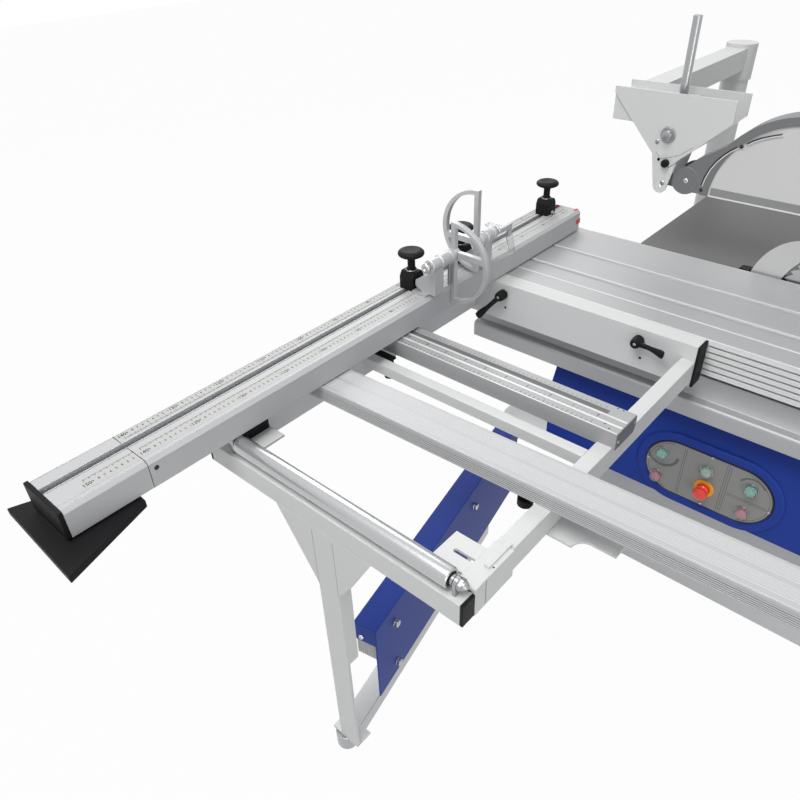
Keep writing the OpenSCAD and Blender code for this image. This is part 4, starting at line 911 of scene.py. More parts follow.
# %% Print of the mitre bar
DIVISIONS = 54
DIVISION = 10
bm = bmesh.new()
top = BAR_TOP + 0.05
for step in range(DIVISIONS):
    y = 226 + step * DIVISION
    reach = 6.0 if step % 5 else 9.0
    block(bm, (-784.5, y - 0.45, top - 0.1), (-784.5 + reach, y + 0.45, top + 0.05))
    block(bm, (-727.5, y - 0.4, top - 0.1), (-727.5 + reach * 0.7, y + 0.4, top + 0.05))
    block(bm, (-763.5, y - 0.4, top - 0.1), (-763.5 + reach * 0.6, y + 0.4, top + 0.05))
    if step % 5 == 0:
        turn = Matrix.Rotation(math.radians(90), 4, "Z")
        lettering(bm, str(step // 5), 8.0, Matrix.Translation((-755, y, top)) @ turn)
make(closed(bm), "mitre_print", INK, "outrigger", "anodised")
print("printed length", DIVISIONS * DIVISION, "mm")

# %% [markdown]
# A dark plate closes the front end of the bar and is held by two bright screws. Small holes near the
# end show where the bar is screwed down; they are dark discs of painted shade.

# %% Mitre bar end plate
bm = bmesh.new()
prism(bm, [(-787.5, 863), (-787.5, 897), (-712.5, 897), (-712.5, 876), (-719, 863)], "Y", 170.6, 172.2)
soften(closed(bm), 0.4)
make(bm, "mitre_end_plate", END_PLATE, "outrigger", "anodised")
bm = bmesh.new()
for x, z in ((-782.5, 880), (-719.5, 886)):
    turned(bm, [(0, 0), (3.4, 0), (3.4, 1.4), (2.6, 2.2), (0, 2.4)], (x, 170.7, z), (0, -1, 0), 20)
make(closed(bm), "mitre_end_screws", STEEL, "outrigger", "steel")
bm = bmesh.new()
for x, y in ((-716.1, 207.3), (-716.3, 196), (-771.8, 204), (-780, 191.7)):
    dot(bm, (x, y, BAR_TOP - 0.02), 1.7, 1, 0.2, 2)
make(closed(bm), "mitre_bar_hole_shade", SHADOW, "outrigger", "anodised")

# %% [markdown]
# Beside each T-slot of the sliding table runs a bright bead, a painted highlight where the edge of the
# slot catches the light. One slot is closed by a cover strip. The left edge shows the same painted
# highlight.

# %% Painted highlights beside the slots of the sliding table
bm = bmesh.new()
for x0, x1 in ((-384.4, -380), (-326, -322.4), (-261.9, -258.4), (-152.9, -149.6)):
    block(bm, (x0, -1228, TABLE - 0.6), (x1, 818, TABLE + 0.45), 0.3)
make(closed(bm), "table_bead_highlights", EDGE_HIGHLIGHT, "table", "anodised")
bm = bmesh.new()
block(bm, (-329.3, -1228, TABLE - 4.2), (-318.7, 818, TABLE - 0.4), 0.3)
make(closed(bm), "slot_cover", SLIDE, "table", "anodised")

# %% [markdown]
# The post shows the lines where the gusset meets the tube, and one more runs down the socket; they are
# thin strips of painted shade. The socket of the front cross tube has a raised tab on top, with a small
# hole that is a dark disc of painted shade.

# %% Painted shade of the seams, and the socket tab
bm = bmesh.new()
for y in (442.2, 491.8):
    block(bm, (-1231.12, y - 0.5, 672), (-1230.9, y + 0.5, 808))
block(bm, (-1175, 172.88, 815), (-1173, 173.1, 868))
make(closed(bm), "post_seam_shade", SEAM_SHADE, "outrigger", "grey_paint")
bm = bmesh.new()
block(bm, (-1156, 181, TUBE_TOP + 3.5), (-1094, 191, TUBE_TOP + 8), 1.4)
make(closed(bm), "socket_tab", GREY, "outrigger", "grey_paint")
# The hole in the tab is a dark disc of painted shade.
bm = bmesh.new()
dot(bm, (-1149, 178, TUBE_TOP + 3.98), 1.6, 1, 0.2, 2)
make(closed(bm), "socket_hole_shade", SHADOW, "outrigger", "grey_paint")

# %% [markdown]
# The end of the blue arm carries a ribbed guide block and a screw. They are drawn in the arm's own
# frame, with its pivot at the origin, and then turned to where the arm stands at rest.

# %% End of the blue arm
ARM_PIVOT = (-285, 685, 408)
ARM_HEADING = 191.77
GUIDE_GROOVES = (-20, -15, -10, -5, 0, 5, 10, 15, 20)
ARM = Matrix.Translation(ARM_PIVOT) @ Matrix.Rotation(math.radians(ARM_HEADING), 4, "Z")
bm = bmesh.new()
ribs = comb(-24, 24, 846, GUIDE_GROOVES, 1.4, 1.6)
prism(bm, [(x, y) for y, x in ribs] + [(800, 24), (800, -24)], "Z", -104, -53.4)
bmesh.ops.transform(bm, matrix=ARM, verts=bm.verts)
make(closed(bm), "arm_guide", ANODISED, node_body["swing_arm"], "steel")
bm = bmesh.new()
turned(bm, [(0, 0), (6.4, 0), (6.4, 0.8), (4.6, 3.4), (0, 4.2)], (849.9, -10, -39.5), (1, 0, 0), 24)
bmesh.ops.transform(bm, matrix=ARM, verts=bm.verts)
make(closed(bm), "arm_end_screw", CHROME, node_body["swing_arm"], "steel")

# %% [markdown]
# The hood is a cast frame with light side panels. Curved slots break up its side: a dark line of
# painted shade for the slot, and a bright line of painted highlight beside it for the lip that catches
# the light.

# %% Slots and lips of the hood
HOOD_FACE = 32.0
HOOD = (node_body["guard_hood"], node_slot["guard_hood"])
SLOT_LINE = [(375.5, 1088.8), (372.4, 1106.9), (364.9, 1129.3), (354.4, 1148.2), (341.3, 1164.8),
             (327.7, 1177.8), (313.8, 1188.2)]
SECOND_LINE = [(295.4, 1198.1), (283, 1207), (268, 1214.9), (249, 1222.5), (227.9, 1228.9)]


def hood_slots(side, way):
    """The painted shade of the slots and the painted highlight of the lips and the lower rim on one side; way
    is -1 on the left and 1 on the right.
    """
    face = way * HOOD_FACE
    bm = bmesh.new()
    for line in (SLOT_LINE, SECOND_LINE):
        prism(bm, strip(line, 3.4), "X", face - way * 0.1, face + way * 0.2)
    for y, z in ((373.6, 1077.8), (305.1, 1190.8)):
        dot(bm, (face, y, z), 4.4, way)
    make(closed(bm), "hood_slot_shade_" + side, SHADOW, *HOOD)
    bm = bmesh.new()
    for line in (SLOT_LINE, SECOND_LINE):
        prism(bm, strip([(y - 2.6, z - 1.6) for y, z in line], 2.0), "X", face - way * 0.1, face + way * 0.3)
    block(bm, *sorted_box((face + way * 0.3, -246, 1066.2), (face - way * 2.8, 354, 1069.0)))
    make(closed(bm), "hood_lip_highlight_" + side, EDGE_HIGHLIGHT, *HOOD)


print("points along the two slots:", len(SLOT_LINE), len(SECOND_LINE))

# %% [markdown]
# Along its lower rim the hood has a darker skirt. Its nose is a round cast boss with a bright screw,
# where the two halves of the hood are held together.

# %% Skirt and nose of the hood
def hood_nose(side, way):
    """The skirt, the boss and the screw on one side of the hood."""
    face = way * HOOD_FACE
    bm = bmesh.new()
    block(bm, *sorted_box((face - way * 2.4, -244, 1068.6), (face - way * 3.4, 352, 1087)))
    make(closed(bm), "hood_skirt_" + side, GUARD_SKIRT, *HOOD)
    bm = bmesh.new()
    turned(bm, [(0, -4), (33, -4), (33, 0), (32, 1.0), (0, 1.0)], (face, 416, 1092.6), (way, 0, 0), 64)
    make(closed(bm), "hood_nose_" + side, GUARD, *HOOD)
    bm = bmesh.new()
    turned(bm, [(0, 0), (6.2, 0), (6.2, 1.0), (4.4, 2.4), (0, 2.8)], (face + way, 414, 1092.6),
           (way, 0, 0), 24)
    make(closed(bm), "hood_screw_" + side, CHROME, *HOOD)


for side, way in (("left", -1), ("right", 1)):
    hood_slots(side, way)
    hood_nose(side, way)

# %% [markdown]
# The bracket that holds the hood is a folded plate. Its face shows the seams of the fold as thin strips
# of painted shade, a clamping knob with a small black disc beside it that is the painted shade of a
# hole, two screws and a round boss.

# %% Bracket of the guard
BRACKET = (node_body["guard_boom"], node_slot["guard_boom"])
PLATE_FACE = -44.0
FOLD_LINE = [(495, 1151), (481.6, 1136.2), (459, 1143), (435.3, 1152.8), (408.4, 1174)]
SHORT_LINE = [(459.5, 1117.5), (446, 1129), (434.4, 1140.4)]
bm = bmesh.new()
prism(bm, strip(FOLD_LINE, 1.4), "X", PLATE_FACE, PLATE_FACE - 0.2)
prism(bm, strip(SHORT_LINE, 2.2), "X", PLATE_FACE, PLATE_FACE - 0.2)
make(closed(bm), "bracket_seam_shade", SEAM_SHADE, *BRACKET)
bm = bmesh.new()
turned(bm, [(0, 0), (9.0, 0), (9.6, 2), (9.2, 9), (7.6, 10.6), (0, 11)], (PLATE_FACE, 465.7, 1129),
       (-1, 0, 0), 32)
# The small black disc beside the knob is the painted shade of a hole.
dot(bm, (PLATE_FACE, 485.2, 1134.3), 3.6)
make(closed(bm), "bracket_knob", BLACK, *BRACKET)
bm = bmesh.new()
for y, z in ((495.5, 1174.7), (465.7, 1080.6)):
    turned(bm, [(0, 0), (5.6, 0), (5.6, 0.8), (4.0, 2.4), (0, 2.8)], (PLATE_FACE, y, z), (-1, 0, 0), 24)
turned(bm, [(0, 0), (18, 0), (18, 3), (16.4, 5), (12, 5), (11, 12), (9.6, 13), (0, 13)],
       (PLATE_FACE, 471.8, 1194.1), (-1, 0, 0), 40)
make(closed(bm), "bracket_screws", STEEL, *BRACKET)

# %% [markdown]
# The fence carries two glued scales, one in front of the T-slot and one behind it. A centimetre mark
# is a line across the strip, and a digit stands beside it; every tenth is a larger number. The zero
# lies 25 mm to the right of the blade plane, so the number N centimetres stands at X = 25 - 10 N.

# %% Fence scales
SCALE_ZERO = 25


def fence_scale(name, y0, y1, left, right, body, ticks_at_back):
    """A glued scale strip with its print, from left to right on the fence or its extension."""
    bm = bmesh.new()
    block(bm, (left, y0, FENCE_TOP - 0.02), (right, y1, FENCE_TOP + 0.22), 0.08, 1)
    make(bm, name, SCALE, body, "anodised")
    bm = bmesh.new()
    top = FENCE_TOP + 0.24
    for centimetre in range(4, 152):
        x = SCALE_ZERO - 10 * centimetre
        if not left + 3 < x < right - 3:
            continue
        reach = 5.0 if centimetre % 5 else 7.0
        base = y1 - 1 if ticks_at_back else y0 + 1 + reach
        block(bm, (x - 0.42, base - reach, top - 0.03), (x + 0.42, base, top + 0.03))
        for millimetre in range(1, 10):
            fine = x + millimetre
            length = 3.6 if millimetre == 5 else 2.4
            low = base - length if ticks_at_back else base - reach
            block(bm, (fine - 0.17, low, top - 0.03), (fine + 0.17, low + length, top + 0.03))
        middle = y0 + 5.6 if ticks_at_back else y1 - 5.6
        if centimetre % 10:
            lettering(bm, str(centimetre % 10), 7.2, Matrix.Translation((x, middle, top)))
        else:
            lettering(bm, str(centimetre), 10.5, Matrix.Translation((x, middle, top)))
    make(closed(bm), name + "_print", INK, body, "anodised")


fence_scale("front_scale", 705, 727, FENCE_LEFT + 1.2, FENCE_RIGHT - 22, "fence", True)
fence_scale("rear_scale", 765, 784, FENCE_LEFT + 1.2, FENCE_RIGHT - 22, "fence", False)
fence_scale("front_scale_outer", 705, 727, -1482, FENCE_LEFT - 1.2, "fence_pull_out", True)

# %% [markdown]
# The fence profile is drawn with fine lines along the top. Two raised lips stand beside the slot, and a
# fine ridge runs along the outer side of each scale. The joint between the fixed fence and the head of
# the extension is a real gap; a thin shadow line stands for it at rest.

# %% Lips and joint of the fence
for name, left, right, body in (("fence", FENCE_LEFT + 0.6, FENCE_RIGHT - 2, "fence"),
                                ("head", HEAD_LEFT + 1.5, FENCE_LEFT - 0.6, "fence_pull_out")):
    bm = bmesh.new()
    for y in (740.5, 757.0):
        block(bm, (left, y, FENCE_TOP - 0.5), (right, y + 2.6, FENCE_TOP + 1.2), 0.5)
    block(bm, (left, 699.5, FENCE_TOP - 0.4), (right, 701.0, FENCE_TOP + 0.5), 0.2, 1)
    block(bm, (left, 785.2, FENCE_TOP - 0.4), (right, 786.6, FENCE_TOP + 0.7), 0.3, 1)
    make(closed(bm), name + "_lips", ANODISED, body, "anodised")
bm = bmesh.new()
for start, end, slot in ((FENCE_FRONT, FENCE_FRONT + CHAMFER, 740), (FENCE_BACK, FENCE_BACK - CHAMFER, 760)):
    out = math.copysign(0.15, start - end)
    prism(bm, [(start + out, FENCE_BOTTOM + 1), (start + out, FENCE_TOP - CHAMFER + 0.1),
               (end + out, FENCE_TOP + 0.26), (slot, FENCE_TOP + 0.26), (slot, FENCE_TOP - 2),
               (end - out, FENCE_TOP - 2), (start - out * 10, FENCE_TOP - CHAMFER - 1),
               (start - out * 10, FENCE_BOTTOM + 1)], "X", FENCE_LEFT - 0.5, FENCE_LEFT + 0.5)
make(closed(bm), "fence_joint_line", SHADOW, "fence", "anodised")
# A dark disc of painted shade marks a screw hole in the front of the fence.
bm = bmesh.new()
turned(bm, [(0, 0), (4.6, 0), (4.6, 0.25), (0, 0.25)], (-1374, FENCE_FRONT + 0.02, 938), (0, -1, 0), 24)
make(closed(bm), "fence_screw_hole_shade", SHADOW, "fence", "anodised")

# %% [markdown]
# The end towards the blade is closed by a red plastic piece. It may be touched by the blade, so it
# is soft and cheap to replace. Only a thin edge of it shows above the profile.

# %% Red end piece
bm = bmesh.new()
prism(bm, [(686, 905), (792, 905), (792, 950), (786, 956), (692, 956), (686, 950)], "X",
      FENCE_RIGHT + 0.05, FENCE_RIGHT + 4)
soften(closed(bm), 0.7)
block(bm, (FENCE_RIGHT - 18, 683.4, 921), (FENCE_RIGHT + 4, 686, 934), 0.5)
block(bm, (FENCE_RIGHT - 12, 692, FENCE_TOP - 0.4), (FENCE_RIGHT + 4, 700, FENCE_TOP + 0.7), 0.3)
block(bm, (FENCE_RIGHT - 12, 776, FENCE_TOP - 0.4), (FENCE_RIGHT + 4, 786.5, FENCE_TOP + 0.7), 0.3)
make(closed(bm), "red_end_piece", RED, "fence", "stop_red")

# %% [markdown]
# The stops are clamped by mushroom knobs. Each knob is turned: a slim neck, a flared underside and a
# domed cap, with a steel washer below it.

# %% Knobs
KNOB = [(0.0, 0), (11.5, 0), (11.8, 1.2), (9.2, 3.2), (8.6, 8), (8.6, 22), (10.0, 26), (15.5, 29.5),
        (24.4, 32.0), (28.2, 34.2), (29.6, 37.2), (29.1, 40.4), (26.4, 43.2), (21.2, 45.2), (17.0, 45.4),
        (14.0, 44.6), (0.0, 44.2)]
KNOB_Y = 750.5
KNOBS = {"stop_knob_1": (-660, "knob_1"), "stop_knob_2": (-480, "knob_2"), "fence_knob": (-101, "pivot_knob")}
for node, (x, body) in KNOBS.items():
    bm = bmesh.new()
    turned(bm, KNOB, (x, KNOB_Y, FENCE_TOP + 44), (0, 0, 1), 48)
    make(closed(bm), node + "_turned", BLACK, body, "black_plastic", [node])
    bm = bmesh.new()
    turned(bm, [(0, 0), (13.0, 0), (13.0, 1.6), (12.4, 2.2), (0, 2.2)], (x, KNOB_Y, FENCE_TOP + 42.2),
           (0, 0, 1), 32)
    make(closed(bm), node + "_washer", STEEL, body, "steel")

# %% [markdown]
# Below each knob sits a moulded block over the slot. The one near the blade holds the fence at its
# pivot; the others belong to the flip stops and are made together with them.

# %% Stop blocks
def stop_block(name, x, body):
    """The black block over the slot: straight below, with chamfered shoulders."""
    bm = bmesh.new()
    y0, y1 = STOP_BACK, STOP_BACK + 38
    z0, z1 = FENCE_TOP + 0.2, FENCE_TOP + 42
    prism(bm, [(x - 20, z0), (x + 20, z0), (x + 20, z1 - 12), (x + 13, z1), (x - 13, z1), (x - 20, z1 - 12)],
          "Y", y0, y1)
    soften(closed(bm), 1.8, 3)
    make(bm, name, BLACK, body, "black_plastic")
    bm = bmesh.new()
    turned(bm, [(0, 0), (3.6, 0), (3.6, 7), (3.0, 8), (0, 8)], (x, y0 + 1, z0 + 6.4), (0, -1, 0), 20)
    hexagon(bm, (x, y0 + 0.2, z0 + 6.4), (0, -1, 0), 6.6, 4.4)
    make(closed(bm), name + "_screw", STEEL, body, "steel")


stop_block("fence_pivot_block", -101, "fence")

# %% [markdown]
# A flip stop has a cast foot that slides beside the slot, a pillar and a polished barrel. The barrel
# is turned in steps, with a dark groove and a countersunk end, and it carries the flag's shaft.

# %% Stop bodies
def barrel(bm, x0, x1):
    """The turned barrel round the flag's shaft, from x0 to x1."""
    y, z = FLAG_AXIS
    length = x1 - x0
    section = [(6.06, 0), (12.0, 0), (14.2, 1.6), (14.6, 4), (14.6, length * 0.30), (12.6, length * 0.32),
               (12.6, length * 0.38), (15.0, length * 0.40), (15.0, length * 0.72), (13.2, length * 0.74),
               (13.2, length * 0.80), (14.6, length * 0.82), (14.6, length - 3), (13.0, length),
               (6.06, length), (6.06, 0)]
    turned(bm, section, (x0, y, z), (1, 0, 0), 40)


def stop_body(node, body, x, barrel_x0, barrel_x1):
    """The casting of a flip stop, with its block over the slot at x."""
    bm = bmesh.new()
    barrel(bm, barrel_x0, barrel_x1)
    foot = x - 23
    y, z = FLAG_AXIS
    prism(bm, [(foot, FENCE_FRONT + 7.4), (foot + 46, FENCE_FRONT + 7.4), (foot + 46, STOP_BACK - 0.4),
               (foot, STOP_BACK - 0.4)], "Z", FENCE_TOP + 0.3, FENCE_TOP + 6)
    prism(bm, [(y - 6, FENCE_TOP + 5.5), (y + 30, FENCE_TOP + 5.5), (y + 50, FENCE_TOP + 16),
               (y + 50, FENCE_TOP + 30), (y + 16, FENCE_TOP + 52), (y + 10, z - 9), (y - 6, z - 11)], "X",
          foot + 8, foot + 38)
    bmesh.ops.recalc_face_normals(bm, faces=bm.faces)
    soften(bm, 0.9)
    make(closed(bm), node + "_casting", CAST_ALU, body, "cast_aluminium", [node])
    stop_block(node + "_block", x, body)


stop_body("stop_body_1", "stop_1", -660, -688, -606.3)
stop_body("stop_body_2", "stop_2", -480, -513.7, -452)

# %% [markdown]
# The shaft of each flag ends in a countersunk head. It turns with the flag, so it is a piece of its own
# on the flag's body.

# %% Shaft heads
for x, way, body in ((-696.5, -1, "flag_1"), (-443.5, 1, "flag_2")):
    bm = bmesh.new()
    y, z = FLAG_AXIS
    turned(bm, [(0, -1), (9.6, -1), (11.2, 0.4), (11.2, 3.4), (9.4, 5.2), (4.6, 5.4), (3.0, 3.0), (0, 3.0)],
           (x, y, z), (way, 0, 0), 32)
    make(closed(bm), body + "_shaft_head", CHROME, body, "bright_steel")

# %% [markdown]
# The reading lens of the second stop is a bent plate of clear plastic, held at the side of the barrel
# and leaning over the front scale. The first stop has a plain steel pointer instead.

# %% Reading lens and pointer
bm = bmesh.new()
prism(bm, [(-392, 1018), (-371, 1018), (-352, 956), (-352, 950), (-372, 950), (-394, 1006)], "Y", 680, 682.4)
prism(bm, [(682, 1018), (682, 1015.5), (742, 1015.5), (746, 1018)], "X", -392, -371)
soften(closed(bm), 0.5)
make(bm, "reading_lens", CLEAR, "stop_2", "cast_aluminium")
bm = bmesh.new()
block(bm, (-452.4, 671, 1026), (-384, 681.9, 1038), 2.0)
block(bm, (-396, 672, 1006), (-384, 679.9, 1037), 2.0)
make(closed(bm), "reading_lens_arm", CAST_ALU, "stop_2", "cast_aluminium")
bm = bmesh.new()
block(bm, (-621, 672, 1016.5), (-607, 683, 1028.4), 1.6)
prism(bm, [(-614, 962), (-606.5, 968), (-606.5, 1020), (-618, 1020), (-618, 966)], "Y", 678, 682)
soften(closed(bm), 0.6)
make(bm, "stop_1_pointer", STEEL, "stop_1", "steel")

# %% [markdown]
# Clamping levers are cast with a turned hub. The arm narrows and ends in a thicker grip, and a bright
# screw sits in the middle of the hub, which is lifted to set the lever to a handy angle.

# %% Grip of a clamping lever
ALONG_GRIP = (0.0, 0.12, 0.25, 0.4, 0.55, 0.7, 0.82, 0.92, 0.98, 1.0)


def grip(bm, arm):
    """Rings of changing width from the hub to the end of the arm, bridged and closed."""
    rings = []
    for share in ALONG_GRIP:
        half = 6.4 - 1.5 * math.sin(math.pi * min(share * 1.15, 1)) + 2.6 * max(0, share - 0.55) * 2
        if share > 0.95:
            half *= 0.62 if share > 0.99 else 0.88
        rise = 18.5 - 3.5 * math.sin(math.pi * share) + 5.5 * share
        circle = bmesh.ops.create_circle(bm, segments=16, radius=1.0)["verts"]
        upright = Euler((math.radians(-90), 0, 0)).to_matrix().to_4x4()
        shape = Matrix.Diagonal((half * 0.8, half * 1.15, 1, 1))
        place = Matrix.Translation((-rise, share * arm, 0)) @ upright @ shape
        bmesh.ops.transform(bm, matrix=place, verts=circle)
        rings.append(circle)
    edges = list({e for ring in rings for v in ring for e in v.link_edges})
    bmesh.ops.bridge_loops(bm, edges=edges)
    for ring in (rings[0], rings[-1]):
        bmesh.ops.contextual_create(bm, geom=ring)
    return [v for ring in rings for v in ring]


print("rings along a grip:", len(ALONG_GRIP))

# %% [markdown]
# The two levers differ in length and in the angle at which they were left. Their studs come out of the
# side of the clamp beam, and small holes below them belong to that beam; they are dark discs of
# painted shade.

# %% Clamping levers
HUB_X = -427.0
HUB_Z = TABLE - 26


def lever(node, body, y, angle, arm):
    """A lever whose hub lies at y, with its grip at an angle and of a length."""
    hub = (HUB_X, y, HUB_Z)
    bm = bmesh.new()
    turned(bm, [(5.1, 0), (11.0, 0), (12.4, 2), (12.6, 10), (11.8, 20), (10.4, 25), (8.6, 26.6), (4.2, 26.6),
                (4.2, 24.0), (0, 24.0)], hub, (-1, 0, 0), 36)
    turn = Matrix.Translation(hub) @ Matrix.Rotation(math.radians(angle), 4, "X")
    bmesh.ops.transform(bm, matrix=turn, verts=grip(bm, arm))
    make(closed(bm), node + "_cast", BLACK, body, "black_plastic", [node])
    bm = bmesh.new()
    turned(bm, [(0, 0), (5, 0), (5, 14), (0, 14)], (HUB_X + 13, y, HUB_Z), (-1, 0, 0), 20)
    turned(bm, [(0, 0), (3.9, 0), (3.9, 1.6), (2.6, 2.6), (1.2, 2.2), (0, 1.4)], (HUB_X - 24, y, HUB_Z),
           (-1, 0, 0), 24)
    make(closed(bm), node + "_screw", STEEL, body, "steel")


lever("clamp_lever_1", "lever_1", 656, -50, 92)
lever("clamp_lever_2", "lever_2", 302, 183, 66)
bm = bmesh.new()
for y, z in ((656, TABLE - 62), (300, TABLE - 70)):
    turned(bm, [(0, 0), (3.2, 0), (3.2, 0.2), (0, 0.2)], (-426.1, y - 6, z), (-1, 0, 0), 20)
make(closed(bm), "clamp_beam_hole_shade", SHADOW, "outrigger", "grey_paint")

# %% [markdown]
# The roller is a polished tube on ball bearings. Its ends are rolled in, a dark bearing shows in each,
# and domed nuts hold the shaft in the brackets. The long streaks of light come from the lamps.

# %% Support roller
ROLLER = (-1213.0, 883.0)
bm = bmesh.new()
turned(bm, [(12.0, 2.0), (12.0, 0.4), (14.6, 0), (16.2, 1.0), (17, 3.0), (17, 30), (17, 240), (17, 451),
            (17, 478), (16.2, 480), (14.6, 481), (12.0, 480.6), (12.0, 479.0), (12.0, 2.0)],
       (ROLLER[0], 206, ROLLER[1]), (0, 1, 0), 96)
make(closed(bm), "roller_tube", CHROME, "work_roller", "bright_steel", ["support_roller"])
bm = bmesh.new()
for y in (208, 680):
    turned(bm, [(6.1, 0), (11.9, 0), (11.9, 5), (6.1, 5), (6.1, 0)], (ROLLER[0], y, ROLLER[1]), (0, 1, 0), 48)
make(closed(bm), "roller_bearings", SHADOW, "work_roller", "bright_steel")

# %% [markdown]
# The shaft doesn't turn. It is held by a small upright plate at each end, with a hexagon and a domed nut
# outside it and a spacer ring inside it.

# %% Shaft, nuts and plates of the roller
bm = bmesh.new()
turned(bm, [(0, 0), (6, 0), (6, 524), (0, 524)], (ROLLER[0], 185, ROLLER[1]), (0, 1, 0), 32)
for y, way in ((192, -1), (701, 1)):
    hexagon(bm, (ROLLER[0], y, ROLLER[1]), (0, way, 0), 10.6, 7.4)
    turned(bm, [(0, 0), (8.4, 0), (8.0, 3.0), (6.0, 6.0), (3.4, 7.6), (0, 8.2)],
           (ROLLER[0], y + way * 7.2, ROLLER[1]), (0, way, 0), 28)
for y in (192, 695):
    prism(bm, [(ROLLER[0] - 10, 862), (ROLLER[0] + 10, 862), (ROLLER[0] + 10, 884)]
          + arc(ROLLER, 10, 6, 174, 12) + [(ROLLER[0] - 10, 884)], "Y", y, y + 6)
for y in (200, 690):
    turned(bm, [(6.1, 0), (9.0, 0), (9.0, 4), (6.1, 4), (6.1, 0)], (ROLLER[0], y, ROLLER[1]), (0, 1, 0), 28)
make(closed(bm), "roller_fastenings", STEEL, "outrigger", "steel", ["roller_mounts"])

# %% [markdown]
# The controls sit on a printed grey plate inside a pressed ring of the blue sheet. The ring is a low
# rounded bead. It is drawn as a flat ring between two outlines that is pulled out and bevelled.

# %% Panel ring and seal
PANEL = (106.0, 526.0)
PLATE_X = -360.0
PANEL_HALF = 74.5


def stadium(half_length, radius, steps=24):
    """Outline of the panel: straight above and below, round at both ends."""
    y, z = PANEL
    return (arc((y + half_length, z), radius, -90, 90, steps)
            + arc((y - half_length, z), radius, 90, 270, steps))


def ring_piece(bm, inner, outer, x0, x1):
    """A flat ring between two stadium outlines."""
    a = [bm.verts.new((x0, p[0], p[1])) for p in outer]
    b = [bm.verts.new((x0, p[0], p[1])) for p in inner]
    edges = []
    for loop in (a, b):
        edges += [bm.edges.new((loop[i], loop[(i + 1) % len(loop)])) for i in range(len(loop))]
    faces = bmesh.ops.bridge_loops(bm, edges=edges)["faces"]
    grown = bmesh.ops.extrude_face_region(bm, geom=faces)["geom"]
    fresh = [v for v in grown if isinstance(v, bmesh.types.BMVert)]
    bmesh.ops.translate(bm, verts=fresh, vec=(x1 - x0, 0, 0))


bm = bmesh.new()
ring_piece(bm, stadium(PANEL_HALF, 76.5), stadium(PANEL_HALF, 100), -355.2, -361.5)
bmesh.ops.recalc_face_normals(bm, faces=bm.faces)
outer_edges = [e for e in bm.edges if len(e.link_faces) == 2 and e.calc_face_angle(0) > 0.7
               and min(v.co.x for v in e.verts) < -361.4]
bmesh.ops.bevel(bm, geom=outer_edges, offset=6.0, offset_type="OFFSET", segments=6, profile=0.5,
                affect="EDGES", material=-1, clamp_overlap=True)
make(closed(bm), "panel_ring", BLUE, "machine", "blue_paint")
bm = bmesh.new()
ring_piece(bm, stadium(PANEL_HALF, 73.6), stadium(PANEL_HALF, 76.6), -360.3, -356)
make(closed(bm), "panel_seal", SHADOW, "machine", "panel_grey")

# %% [markdown]
# Thin printed lines divide the plate, and two rings of ticks stand round the start buttons. Each line
# is a strip along a row of points, pulled out by a tenth of a millimetre.

# %% Printed lines of the panel
FINE_LINE = 0.8
STRAIGHT_LINES = [[(164, 457), (164, 595)], [(169, 459), (169, 593)], [(70, 455), (70, 597)],
                  [(65, 455), (65, 597)], [(60, 520), (-34, 520)], [(60, 515), (-36, 515)],
                  [(60, 520), (60, 594)], [(60, 515), (60, 458)]]
ROUND_LINES = [arc((180.5, 526), 69, -78, 78, 30), arc((31.5, 526), 69, 100, 260, 30)]
bm = bmesh.new()


def printed(points, width=FINE_LINE):
    """A printed line of some width through points on the plate."""
    prism(bm, strip(points, width), "X", PLATE_X + 0.05, PLATE_X - 0.12)


for line in STRAIGHT_LINES + ROUND_LINES:
    printed(line)
for centre, radius, start, end, count in (((218, 558), 34, -176, -12, 40), ((9, 556), 27, 28, 152, 22)):
    for i in range(count + 1):
        angle = math.radians(start + (end - start) * i / count)
        deep = 7.0 if centre[0] > 100 else 5.0
        way = (math.cos(angle), math.sin(angle))
        ends = (radius, radius + deep)
        printed([(centre[0] + reach * way[0], centre[1] + reach * way[1]) for reach in ends], 1.5)
make(closed(bm), "panel_print", INK, "machine", "panel_grey")
bm = bmesh.new()
for y, z in ((251, 526), (106, 598), (106, 456), (-39, 515)):
    turned(bm, [(0, 0), (3.4, 0), (3.4, 1.2), (2.4, 2.0), (0, 2.2)], (PLATE_X + 0.2, y, z), (-1, 0, 0), 20)
make(closed(bm), "panel_screws", STEEL, "machine", "steel")

# %% [markdown]
# A push button here is a coloured disc inside a clear guard. The bright bezel stays with the panel, and
# is wide enough for the disc and its guard to move in together when pressed.

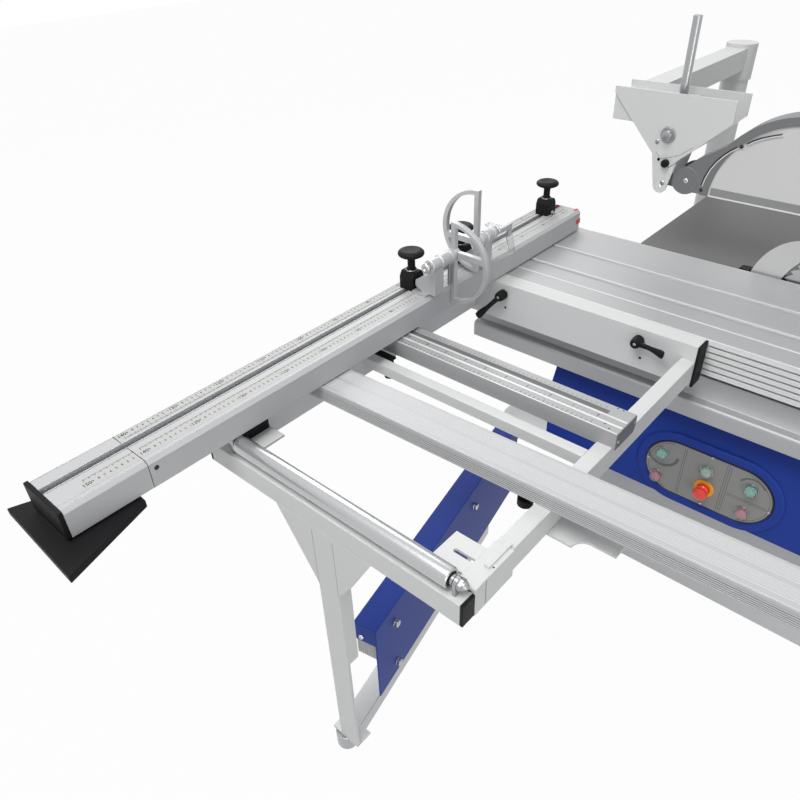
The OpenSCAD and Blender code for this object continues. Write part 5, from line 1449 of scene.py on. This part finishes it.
# %% Buttons
BUTTONS = {"start_button_1": ((218, 558), GREEN, "green_1", "button_green"),
           "stop_button_1": ((221, 485), PINK, "red_1", "button_red"),
           "pilot_button": ((110, 557), PALE, "pale", "button_pale"),
           "start_button_2": ((9, 556), GREEN, "green_2", "button_green"),
           "stop_button_2": ((12, 485), PINK, "red_2", "button_red")}
bezels = bmesh.new()
for node, ((y, z), material, body, slot_name) in BUTTONS.items():
    turned(bezels, [(14.4, -0.2), (17.0, -0.2), (17.0, 1.4), (16.2, 2.6), (14.9, 2.6), (14.4, 1.8),
                    (14.4, -0.2)], (PLATE_X, y, z), (-1, 0, 0), 40)
    bm = bmesh.new()
    turned(bm, [(0, -1.8), (8.9, -1.8), (8.9, 4), (11.6, 4.2), (12.0, 5.0), (12.0, 7.6), (11.2, 8.8),
                (9.0, 9.0), (4.0, 8.7), (0, 8.6)], (PLATE_X, y, z), (-1, 0, 0), 40)
    make(closed(bm), node + "_cap", material, body, slot_name, [node])
    bm = bmesh.new()
    turned(bm, [(12.3, 3.6), (13.8, 3.6), (14.0, 12.4), (12.8, 14.2), (9.0, 15.6), (0, 16.0), (0, 14.8),
                (8.6, 14.4), (11.8, 13.2), (12.6, 11.6), (12.3, 3.6)], (PLATE_X, y, z), (-1, 0, 0), 40)
    make(closed(bm), node + "_guard", CLEAR, body, slot_name)
make(closed(bezels), "button_bezels", STEEL, "machine", "steel")

# %% [markdown]
# The emergency stop is a red mushroom on a yellow ring. Its ring is printed plastic and stays on the
# panel; the head is wide enough to be hit with the palm.

# %% Emergency stop
STOP = (PLATE_X, 107, 504)
bm = bmesh.new()
turned(bm, [(14.6, 0), (24, 0), (24, 2.2), (22.6, 3.4), (15.6, 3.4), (14.6, 2.6), (14.6, 0)], STOP,
       (-1, 0, 0), 48)
make(closed(bm), "stop_ring", YELLOW, "machine", "stop_red")
bm = bmesh.new()
turned(bm, [(0, -1.3), (13.6, -1.3), (13.6, 10), (11.0, 13), (11.0, 16), (14.6, 18), (16.6, 21),
            (17.0, 25), (16.4, 28.4), (13.6, 30.2), (8.0, 31.0), (0, 31.2)], STOP, (-1, 0, 0), 48)
make(closed(bm), "stop_mushroom", STOP_RED, "estop", "stop_red", ["emergency_stop"])

# %% [markdown]
# The last step prints the size of the dressed model, because the dressing must not change what the saw
# measures.

visual_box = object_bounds()
print("size of the dressed model:", [round(h - l, 3) for l, h in zip(*visual_box)])
